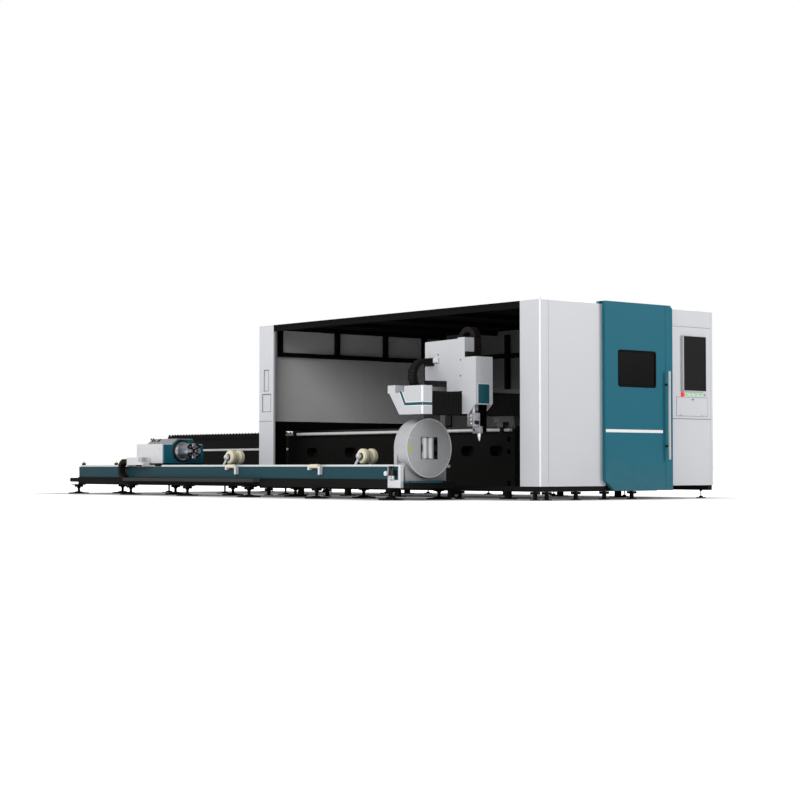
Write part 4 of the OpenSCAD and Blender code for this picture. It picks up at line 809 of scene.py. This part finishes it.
class MACHINE_OT_chains(bpy.types.Operator):
    """Build the drag chains' links"""

    bl_idname = "machine.chains"
    bl_label = "Drag chains"

    def execute(self, context):
        self.lift()
        self.beam()
        self.bed()
        return {"FINISHED"}

    def lift(self):
        """Over the head: up behind the cover's column, over the top and down into the cover."""
        low, high = edges_mm("lift_chain")
        thick = 64.0
        radius = (high[0] - low[0] - thick) / 2
        leg = high[2] - radius - thick / 2 - low[2]
        centre = ((low[0] + high[0]) / 2, (low[1] + high[1]) / 2, low[2] + leg)
        path = bend_path(centre, radius, math.pi, 0, X_AXIS, Z_AXIS, leg, leg)
        piece = chain("lift chain links", path, Y_AXIS, high[1] - low[1], thick, "lift_chain_body")
        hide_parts("lift_chain")

    def beam(self):
        """Behind the beam: from the head back over the loop and forward again in the channel."""
        low, high = edges_mm("beam_chain_loop")
        head_y = edges_mm("head_cover")[0][1] + 214
        thick = 54.0
        width = high[0] - low[0]
        radius = (high[2] - low[2] - thick) / 2
        x = (low[0] + high[0]) / 2
        z = (low[2] + high[2]) / 2
        y = low[1] + radius + thick / 2
        loop = bend_path((x, y, z), radius, math.pi / 2, 1.5 * math.pi, Y_AXIS, Z_AXIS, 0, high[1] - y)
        piece = chain("beam chain bend", loop, X_AXIS, width, thick, "beam_chain_body")
        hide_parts("beam_chain_loop")
        upper = np.linspace((x, y, z + radius), (x, head_y, z + radius), 20)
        piece = chain("beam chain upper run", upper, X_AXIS, width, thick, None)
        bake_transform(piece)
        end = 900.0
        lower = np.linspace((x, high[1] - 10, z - radius), (x, end, z - radius), 20)
        piece = chain("beam chain lower run", lower, X_AXIS, 0.9 * width, 0.9 * thick, "gantry")
        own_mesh(piece)

    def bed(self):
        """Beside the tube bed: from the rear carriage back over the loop and forward again in the tray."""
        low, high = edges_mm("bed_chain_loop")
        tray_low, tray_high = edges_mm("chain_tray")
        thick = 60.0
        width = high[1] - low[1]
        radius = (high[2] - low[2] - thick) / 2
        y = (low[1] + high[1]) / 2
        z = (low[2] + high[2]) / 2
        x = low[0] + radius + thick / 2
        loop = bend_path((x, y, z), radius, math.pi / 2, 1.5 * math.pi, X_AXIS, Z_AXIS, 0, 0)
        piece = chain("bed chain bend", loop, Y_AXIS, width, thick, "bed_chain_body")
        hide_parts("bed_chain_loop")
        upper = np.linspace((x, y, z + radius), (high[0], y, z + radius), 20)
        piece = chain("bed chain upper run", upper, Y_AXIS, width, thick, None)
        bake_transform(piece)
        end = tray_high[0] - 500
        flat = 38.0
        run_z = tray_low[2] + 4 + flat / 2
        lower = np.linspace((x, y, run_z), (end, y, run_z), 20)
        piece = chain("bed chain lower run", lower, Y_AXIS, width - 8, flat, "cabin")
        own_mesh(piece)


class MACHINE_OT_gantry_trim(bpy.types.Operator):
    """Add the gantry's stripe, plate, screws and fittings"""

    bl_idname = "machine.gantry_trim"
    bl_label = "Gantry trim"

    def execute(self, context):
        low, high = edges_mm("beam_covers")
        face_x, face_y = high[0], low[1]
        corner = 2
        level = 1131
        side = [at(-1264, face_y, 1281), at(-1181, face_y, level), at(face_x - corner, face_y, level)]
        front = [at(face_x, face_y + corner, level), at(face_x, -912, level)]
        for name, width, rise, finish in (
            ("end cover stripe border", 50, 0.8, "trim white"),
            ("end cover stripe", 36, 1.6, "trim teal"),
        ):
            on_side = shell([ribbon_grid(side, width, rise, -Y_AXIS)])
            on_front = shell([ribbon_grid(front, width, rise, X_AXIS)])
            make_piece(name, *merge([on_side, on_front]), finish, "gantry")
        head_low, head_high = edges_mm("head_cover")
        middle = [at(head_high[0], -320, 1252)]
        plates("head plate border", middle, X_AXIS, 188, 240, 1.5, 8, 1, "trim white", "y_carriage")
        plates("head plate", middle, X_AXIS, 178, 230, 3, 6, 1, "trim teal", "y_carriage")
        spots = [(-892, 1661), (-892, 1472), (-1294, 1739)]
        near = [at(x, head_low[1], z) for x, z in spots]
        screws("head cover screws", near, -Y_AXIS, 8, "black plastic", "y_carriage")
        far = [at(x, head_high[1], z) for x, z in spots]
        screws("head cover far screws", far, Y_AXIS, 7, "head alloy", "y_carriage")
        ends = [at(x, face_y, z) for x, z in ((-1340, 1230), (-920, 1230), (-920, 1040), (-1210, 1040))]
        screws("end cover screws", ends, -Y_AXIS, 6, "head alloy", "gantry")
        # painted shade: a black plate on the column's front face stands for the shaded opening where the
        # chain enters
        slot = [at(-820, -366, 1726)]
        plates("cover opening shade", slot, X_AXIS, 148, 66, 1.2, 3, 0.5, "black plastic", "y_carriage")
        y = head_low[1]
        block = ((-1374, y - 20, 1640), (-1286, y, 1700))
        lug = ((-1330, y - 34, 1648), (-1300, y - 20, 1690))
        boxes("beam chain bracket", [block, lug], 3, "white plastic", "y_carriage")
        self.cutting_head("z_slide")
        return {"FINISHED"}

    def cutting_head(self, body):
        """Nozzle, collars, screws and hose fittings on the cutting head."""
        x, y, z = -712.0, -310.0, 698.0
        tip = [(1.2, -1), (5, -1), (9, 6), (15.6, 26), (15.6, 30), (1.2, 30)]
        lathes("nozzle", [at(x, y, z)], Z_AXIS, tip, "nozzle copper", body, steps=32, closed=True)
        collar = [(18, 0), (24.6, 0), (25.4, 2), (25.4, 9), (24.6, 11), (18, 11)]
        rings = [at(x, y, z + 52), at(x, y, z + 78)]
        lathes("nozzle collars", rings, Z_AXIS, collar, "head alloy", body, steps=36, closed=True)
        foot = [at(x + 28, y + side, z + up) for side in (-42, 20) for up in (102, 162)]
        screws("glass housing screws", foot, X_AXIS, 6, "black plastic", body)
        block = [at(x + 6, y + side, z + up) for side in (-86, -8) for up in (186, 250, 320)]
        screws("optics screws", block, X_AXIS, 7, "head alloy", body)
        knob = [(0.5, 0), (13, 0), (13, 3), (10, 4), (10, 9), (8, 10), (0.5, 10)]
        water = [at(x - 40, y - 98, z + up) for up in (210, 255, 300)]
        lathes("water fittings", water, -Y_AXIS, knob, "head alloy", body, steps=24)
        gas = [at(x - 20, y - 60, z + 132)]
        lathes("gas fitting", gas, -Y_AXIS, knob, "black plastic", body, steps=24)
        sensor = [((x + 6, y - 70, z + 196), (x + 24, y - 22, z + 240))]
        boxes("sensor box", sensor, 2, "black plastic", body)


class MACHINE_OT_door_trim(bpy.types.Operator):
    """Add the door's stripe and window seal, and the console's rings, lock and flap catch"""

    bl_idname = "machine.door_trim"
    bl_label = "Door and console trim"

    def execute(self, context):
        low, high = edges_mm("door_panel")
        stripe = [at(high[0], low[1] + 507, 826)]
        plates("door stripe", stripe, X_AXIS, 1004, 36, 2, 2, 1, "trim white", "door", "panel_white")
        pane_low, pane_high = edges_mm("door_window")
        _, y, z = middle_mm("door_window")
        _, width, height = pane_high - pane_low - 4
        place = [at(high[0] - 1, y, z)]
        ring_plates("window seal", place, X_AXIS, width, height, 20, 4, 34, "roof paint", "door")
        self.console()
        return {"FINISHED"}

    def console(self):
        """Rings of the buttons, the key switch, the flap's lock and gap, and the panels' seams."""
        level = 1296
        collar = [(11.6, 0), (15, 0), (15, 2.5), (14, 4), (11.6, 4)]
        buttons = [at(0, middle_mm(f"push_button_{i}")[1], level) for i in (1, 2, 3, 4)]
        lathes("button rings", buttons, X_AXIS, collar, "roller chrome", "cabin", steps=32, closed=True)
        stop = [at(0, middle_mm("estop")[1], level)]
        guard = [(20.8, 0), (32, 0), (32, 2), (29, 5), (20.8, 5)]
        lathes("stop ring", stop, X_AXIS, guard, "stop red", "cabin", steps=40, closed=True)
        switch = at(0, 2873, level)
        barrel = [(0.5, 0), (14, 0), (14, 5), (11, 8), (0.5, 8)]
        lathes("key switch", [switch], X_AXIS, barrel, "roller chrome", "cabin", steps=32)
        key = [switch + MM * np.array([8, 0, 0])]
        plates("key", key, X_AXIS, 3, 15, 10, 1, 0.8, "black plastic", "cabin")
        flap_low, flap_high = edges_mm("keyboard_flap")
        _, y, z = middle_mm("keyboard_flap")
        lock = [(0.5, 0), (9, 0), (9, 3), (7, 5), (0.5, 5)]
        catch = [at(flap_high[0], y, flap_high[2] - 26)]
        lathes("flap lock", catch, X_AXIS, lock, "black plastic", "flap", steps=28)
        _, width, height = flap_high - flap_low + 12
        pocket = [at(0, y, z)]
        ring_plates("flap gap", pocket, X_AXIS, width, height, 3, 0.6, 3, "shadow grey", "cabin")
        top = edges_mm("front_wall")[1][2]
        console_low, console_high = edges_mm("operator_console")
        post_y = edges_mm("corner_posts")[0][1] + 134
        half = 1.5
        rise = 0.6
        seams = [((0, post_y - half, 190), (rise, post_y + half, top))]
        for level in (990, 993, 2143):
            seams.append(((0, console_low[1] + 4, level - half), (rise, console_high[1], level + half)))
        boxes("panel seams", seams, 0.1, "shadow grey", "cabin")


class MACHINE_OT_chuck_trim(bpy.types.Operator):
    """Add rings, marks, screws and fittings to both chucks"""

    bl_idname = "machine.chuck_trim"
    bl_label = "Chuck trim"

    def execute(self, context):
        self.front("front_chuck")
        self.rear("rear_carriage")
        return {"FINISHED"}

    def front(self, body):
        """Painted-highlight ring at the rim, mark, screws and mouth of the front chuck, the lug beside it and
        the base's strip.
        """
        low, high = edges_mm("front_rotor")
        _, y, z = middle_mm("front_rotor")
        x = high[0]
        radius = (high[1] - low[1]) / 2
        face = [at(x, y, z)]
        # painted highlight: a light ring round the edge of the disc's face
        rim = [(radius - 12, 0), (radius - 9, 2.5), (radius - 3, 2.5), (radius - 0.5, 0)]
        lathes("disc rim highlight", face, X_AXIS, rim, "white plastic", body, "machine_grey", steps=96, closed=True)
        mark = [(0.5, 0), (26, 0), (26, 1.5), (25, 2.5), (0.5, 2.5)]
        lathes("disc mark", [at(x, -1003, 611)], X_AXIS, mark, "mark yellow", body, steps=32)
        screws("disc screws", on_circle(x, y, z, 310, 8, 22.5), X_AXIS, 8, "roller chrome", body)
        ring_plates("disc mouth", face, X_AXIS, 330, 330, 32, 2, 6, "chuck paint", body)
        lug = [((-1270, -356, 380), (-1225, -312, 420))]
        boxes("headstock lug", lug, 6, "white plastic", "cabin")
        end = edges_mm("tube_bed_base")[1][0]
        across = ((end, -1060, 206), (end + 2, -550, 224))
        along = ((-1388, -1077, 206), (end, -1075, 224))
        boxes("base strip", [across, along], 0.5, "trim teal", "cabin")

    def rear(self, body):
        """Flange, face sectors, plug, fittings and vents of the rear chuck."""
        x = edges_mm("rear_barrel")[1][0]
        _, y, z = middle_mm("rear_barrel")
        plate = [at(edges_mm("rear_face_plate")[1][0], y, z)]
        flange = [(132, 0), (158, 0), (158, 5), (154, 8), (132, 8)]
        lathes("barrel flange", plate, X_AXIS, flange, "black plastic", body, steps=72, closed=True)
        self.sectors(x, y, z)
        screws("barrel screws", on_circle(x, y, z, 82, 4, 45.0), X_AXIS, 8, "turned steel", "rear_chuck")
        slope = np.array([0.0, -0.6, 0.8])
        plug = [at(-6917, -799, 764)]
        plates("cover plug", plug, slope, 70, 46, 7, 22, 3, "black plastic", body, up=X_AXIS)
        post = [(0.5, 0), (12, 0), (12, 8), (8, 9), (8, 36), (12, 37), (12, 46), (9, 49), (0.5, 49)]
        fittings = [at(-7012, -811, 755), at(-7070, -811, 755)]
        lathes("air fittings", fittings, slope, post, "black plastic", body, steps=20)
        levels = (470, 482, 494, 506, 518)
        front = [at(-6786, -1125, level) for level in levels]
        plates("valve vents", front, X_AXIS, 78, 4, 1, 1.5, 0.4, "shadow grey", body)
        near = [at(-6826, -1180, level) for level in levels]
        plates("valve vents near", near, -Y_AXIS, 66, 4, 1, 1.5, 0.4, "shadow grey", body)
        covers = [at(-7100, -1015, 640), at(-6560, -1015, 640)]
        screws("carriage screws", covers, -Y_AXIS, 9, "turned steel", body)

    def sectors(self, x, y, z):
        """Dark face between the jaws: four ring sectors, each from 22 to 68 degrees of its quarter."""
        quarter = np.radians(np.linspace(22, 68, 14))
        rings = np.array([[38.0, 0.0], [38.0, 1.5], [121.0, 1.5], [121.0, 0.0]])
        grids = []
        for turn in range(4):
            angle = quarter + turn * math.pi / 2
            flat = np.stack([np.zeros_like(angle), np.cos(angle), np.sin(angle)], -1)
            ring = flat[:, None] * rings[None, :, :1] + rings[None, :, 1:] * X_AXIS
            grids.append(at(x, y, z) + MM * ring)
        make_piece("barrel face", *shell(grids), "black plastic", "rear_chuck")


class MACHINE_OT_bed_trim(bpy.types.Operator):
    """Add axle clamps, bumper tips, and the feet's sleeves, pads and nuts"""

    bl_idname = "machine.bed_trim"
    bl_label = "Bed trim"

    def execute(self, context):
        for i in (1, 2, 3):
            self.roller_mount(f"support_roller_{i}", f"arm_body_{i}", i)
        base_low, base_high = edges_mm("tube_bed_base")
        cone = [(14, 0), (12, 6), (4, 22), (0.5, 24)]
        tips = [at(x, -1020, base_high[2]) for x in (-8625, -7710)]
        lathes("bumper tips", tips, Z_AXIS, cone, "mark yellow", "cabin", steps=20)
        feet = [(-1410 - 1449 * i, y) for i in range(6) for y in (-1085, -335)]
        self.stands("tube bed", feet, 128, 19, 48)
        pad = [(151, 0.5), (151, 17), (70, 23), (40, 34), (19, 36)]
        lathes("tube bed foot pads", [at(x, y, 0) for x, y in feet], Z_AXIS, pad, "frame paint", "cabin")
        stub = [((base_low[0] + 2, -1054, 173), (base_low[0] + 272, -876, 233))]
        boxes("end stub cover", stub, 4, "frame paint", "cabin")
        walls_low, walls_high = edges_mm("bed_walls")
        spread = np.linspace(walls_high[0] - 200, walls_low[0] + 200, 5)
        under = [(x, y) for x in spread for y in (545, 2485)]
        self.stands("sheet bed", under, walls_low[2] - 1, 46, 90)
        front = [(-50, 150 + 480 * i) for i in range(4)]
        side = [(-150 - 1326.5 * i, 60) for i in range(5)]
        self.stands("cabin", front + side, 98, 26, 45)
        nuts = [at(x, y, 84) for x, y in feet]
        hex_nuts("foot nuts", nuts, Z_AXIS, 32, 22, "chain plastic", "cabin", "frame_black")
        return {"FINISHED"}

    def roller_mount(self, roller, body, i):
        """Hub, clamp and nut at the near end of a support roller's axle."""
        near = edges_mm(roller)[0][1]
        x, _, z = middle_mm(roller)
        hub = [(20, 1), (44, 1), (40, 12), (20, 12)]
        end = [at(x, near, z)]
        lathes(f"roller hub {i}", end, -Y_AXIS, hub, "black plastic", body, steps=36, closed=True)
        clamp = [((x - 30, near - 52, z - 30), (x + 30, near - 16, z + 30))]
        boxes(f"axle clamp {i}", clamp, 5, "white plastic", body)
        hex_nuts(f"axle nut {i}", [at(x, near - 52, z)], -Y_AXIS, 20, 14, "head alloy", body)

    def stands(self, name, places, top, radius, half):
        """Sleeves round the levelling screws, each with a square pad under the frame."""
        sleeve = [(radius, 0), (radius, top - 30), (0.8 * radius, top - 28)]
        bases = [at(x, y, 28) for x, y in places]
        lathes(f"{name} sleeves", bases, Z_AXIS, sleeve, "frame paint", "cabin", steps=24)
        pads = [((x - half, y - half, top - 30), (x + half, y + half, top)) for x, y in places]
        boxes(f"{name} pads", pads, 4, "frame paint", "cabin")


class MACHINE_OT_cabin_trim(bpy.types.Operator):
    """Add painted-shade frames round the pillar's recesses, louvres, locks and screws to the cabin"""

    bl_idname = "machine.cabin_trim"
    bl_label = "Cabin trim"

    def execute(self, context):
        # painted shade: dark frames round the pillar's slot and hatch recesses
        for name, x0, x1, z0, z1 in (
            ("pillar slot shade frame", -5492, -5386, 1445, 1733),
            ("pillar hatch shade frame", -5531, -5334, 1157, 1398),
        ):
            middle = [at((x0 + x1) / 2, 0, (z0 + z1) / 2)]
            width, height = x1 - x0 + 10, z1 - z0 + 10
            ring_plates(name, middle, -Y_AXIS, width, height, 7, 1.2, 5, "shadow grey", "cabin")
        brush = [((-5604, 452, 893), (-5568, 2578, 905))]
        boxes("opening brush", brush, 1, "frame paint", "cabin")
        seam = [((-5604, -0.6, 1021), (-5300, 0, 1025))]
        boxes("pillar seam", seam, 0.1, "shadow grey", "cabin")
        self.far_side()
        return {"FINISHED"}

    def far_side(self):
        """Louvres, locks, door frames and screws of the far wall, and the end wall's screws."""
        low, high = edges_mm("far_wall")
        face = high[1]
        step = (high[0] - low[0]) / 5
        centres = low[0] + step * (np.arange(5) + 0.5)
        slats = [at(x, face, z) for x in centres[[0, 2, 4]] for z in np.arange(1780, 2081, 30)]
        plates("far louvres", slats, Y_AXIS, 520, 14, 4, 5, 2, "shadow grey", "cabin", "panel_white")
        locks = [at(x + 0.42 * step, face, z) for x in centres for z in (700, 1500)]
        knob = [(0.5, 0), (20, 0), (20, 4), (14, 7), (0.5, 7)]
        lathes("far locks", locks, Y_AXIS, knob, "black plastic", "cabin", steps=24)
        doors = [at(x, face, 1000) for x in centres]
        ring_plates("far doors", doors, Y_AXIS, step - 90, 1340, 8, 1.5, 20, "white plastic", "cabin")
        row = np.linspace(low[0] + 60, high[0] - 60, 24)
        spots = [at(x, face, z) for x in row for z in (2300, 210)]
        screws("far wall screws", spots, Y_AXIS, 8, "head alloy", "cabin")
        end = edges_mm("end_wall")[0][0]
        spots = [at(end, y, z) for y in np.linspace(120, 2900, 12) for z in (2300, 1080)]
        screws("end wall screws", spots, -X_AXIS, 8, "head alloy", "cabin")


# Studio


class MACHINE_OT_stage(bpy.types.Operator):
    """Set the camera, the floor, the lights and the white background"""

    bl_idname = "machine.stage"
    bl_label = "Stage"

    def execute(self, context):
        s = studio()
        scene = context.scene
        scene.view_settings.view_transform = "Standard"
        lens = bpy.data.cameras.new("camera")
        lens.sensor_width = 36.0
        lens.lens = s.lens
        lens.clip_end = 200.0
        camera = bpy.data.objects.new("camera", lens)
        scene.collection.objects.link(camera)
        camera.location = at(15717.5, -15225.9, 388.4)
        camera.rotation_euler = (math.pi / 2 + s.pitch, 0.0, s.azimuth)
        scene.camera = camera
        self.floor(scene)
        self.world(scene, s)
        middle = at(-2600, 600, 900)
        self.light(scene, "front light", at(12000, 10000, 5500), at(0, 1500, 1150), (5.5, 4.5), s.front_power)
        self.light(scene, "side light", at(-2000, -9500, 6500), middle, (17.0, 5.0), s.side_power)
        self.light(scene, "far light", at(-4000, 10000, 6500), middle, (12.0, 5.0), s.far_power)
        return {"FINISHED"}

    def light(self, scene, name, place, target, size, power):
        """A soft rectangular lamp that faces a target."""
        lamp = bpy.data.lights.new(name, "AREA")
        lamp.shape = "RECTANGLE"
        lamp.size, lamp.size_y = size
        lamp.energy = power
        holder = bpy.data.objects.new(name, lamp)
        holder.location = place
        holder.rotation_euler = Vector(target - place).to_track_quat("-Z", "Y").to_euler()
        scene.collection.objects.link(holder)

    def floor(self, scene):
        """A wide pale floor that shows white to the camera away from the machine's shadow."""
        half = 400.0
        corners = [(-half, -half, 0), (half, -half, 0), (-half, half, 0), (half, half, 0)]
        mesh = bpy.data.meshes.new("floor")
        mesh.from_pydata(corners, [], [(0, 1, 3, 2)])
        floor = bpy.data.objects.new("floor", mesh)
        scene.collection.objects.link(floor)
        material = bpy.data.materials.new("floor white")
        material.use_nodes = True
        net = Net(material.node_tree)
        shader = material.node_tree.nodes["Principled BSDF"]
        shader.inputs["Base Color"].default_value = (0.82, 0.82, 0.82, 1.0)
        shader.inputs["Roughness"].default_value = 0.9
        shader.inputs["Specular IOR Level"].default_value = 0.1
        rays = net.add("ShaderNodeLightPath")
        seen = net.math("MAXIMUM", rays.outputs["Is Camera Ray"], rays.outputs["Is Glossy Ray"])
        seen = net.math("MAXIMUM", seen, rays.outputs["Is Transmission Ray"])
        place = net.place()
        nearest = 100.0
        zero = (0.0, 0.0, 0.0)
        cabin = (-5606, 0), (0, 3030)
        tube_bed = (-8960, -1150), (-1094, -345)
        exchange_table = (-8950, 500), (-5606, 2500)
        for low, high in (cabin, tube_bed, exchange_table):
            low, high = at(*low, 0), at(*high, 0)
            outside = net.vector("SUBTRACT", place, tuple((low + high) / 2))
            outside = net.vector("ABSOLUTE", outside, zero)
            outside = net.vector("SUBTRACT", outside, tuple((high - low) / 2))
            outside = net.vector("MAXIMUM", outside, zero)
            reach = net.add("ShaderNodeVectorMath", operation="LENGTH")
            net.feed(reach.inputs[0], outside)
            nearest = net.math("MINIMUM", nearest, reach.outputs["Value"])
        ramp = net.add("ShaderNodeMapRange", interpolation_type="SMOOTHSTEP")
        net.feed(ramp.inputs["Value"], nearest)
        for socket, value in (("From Min", 0.05), ("From Max", 1.3), ("To Min", 0.02), ("To Max", 1.05)):
            ramp.inputs[socket].default_value = value
        glow = net.add("ShaderNodeEmission")
        net.feed(glow.inputs["Strength"], net.math("MULTIPLY", seen, ramp.outputs[0]))
        both = net.add("ShaderNodeAddShader")
        net.feed(both.inputs[0], shader.outputs[0])
        net.feed(both.inputs[1], glow.outputs[0])
        net.feed(material.node_tree.nodes["Material Output"].inputs["Surface"], both.outputs[0])
        mesh.materials.append(material)

    def world(self, scene, s):
        """White to the camera, gloss and glass; a plain grey light for the rest."""
        world = bpy.data.worlds.new("studio")
        world.use_nodes = True
        scene.world = world
        net = Net(world.node_tree)
        rays = net.add("ShaderNodeLightPath")
        seen = net.math("MAXIMUM", rays.outputs["Is Camera Ray"], rays.outputs["Is Transmission Ray"])
        back = world.node_tree.nodes["Background"]
        back.inputs["Color"].default_value = (1.0, 1.0, 1.0, 1.0)
        strength = net.math("MULTIPLY_ADD", seen, 1.0 - s.ambient)
        strength.node.inputs[2].default_value = s.ambient
        net.feed(back.inputs["Strength"], strength)


class MACHINE_PT_panel(bpy.types.Panel):
    """The machine's settings and pieces"""

    bl_idname = "MACHINE_PT_panel"
    bl_label = "Laser Cutting Machine"
    bl_space_type = "VIEW_3D"
    bl_region_type = "UI"
    bl_category = "Machine"

    def draw(self, context):
        for group in (colours(), sizes(), studio()):
            for key in group.__annotations__:
                self.layout.prop(group, key)
        for operator in OPERATORS:
            self.layout.operator(operator.bl_idname)


SETTINGS = (MachineColours, MachineSizes, MachineStudio)
OPERATORS = (
    MACHINE_OT_finishes,
    MACHINE_OT_bellows,
    MACHINE_OT_chains,
    MACHINE_OT_gantry_trim,
    MACHINE_OT_door_trim,
    MACHINE_OT_chuck_trim,
    MACHINE_OT_bed_trim,
    MACHINE_OT_cabin_trim,
    MACHINE_OT_stage,
)


def register():
    for kind in (*SETTINGS, *OPERATORS, MACHINE_PT_panel):
        bpy.utils.register_class(kind)
    bpy.types.Scene.machine_colours = PointerProperty(type=MachineColours)
    bpy.types.Scene.machine_sizes = PointerProperty(type=MachineSizes)
    bpy.types.Scene.machine_studio = PointerProperty(type=MachineStudio)


def unregister():
    del bpy.types.Scene.machine_studio
    del bpy.types.Scene.machine_sizes
    del bpy.types.Scene.machine_colours
    for kind in reversed((*SETTINGS, *OPERATORS, MACHINE_PT_panel)):
        bpy.utils.unregister_class(kind)


def main():
    register()
    for operator in OPERATORS:
        group, name = operator.bl_idname.split(".")
        getattr(getattr(bpy.ops, group), name)()


if __name__ == "__main__":
    main()
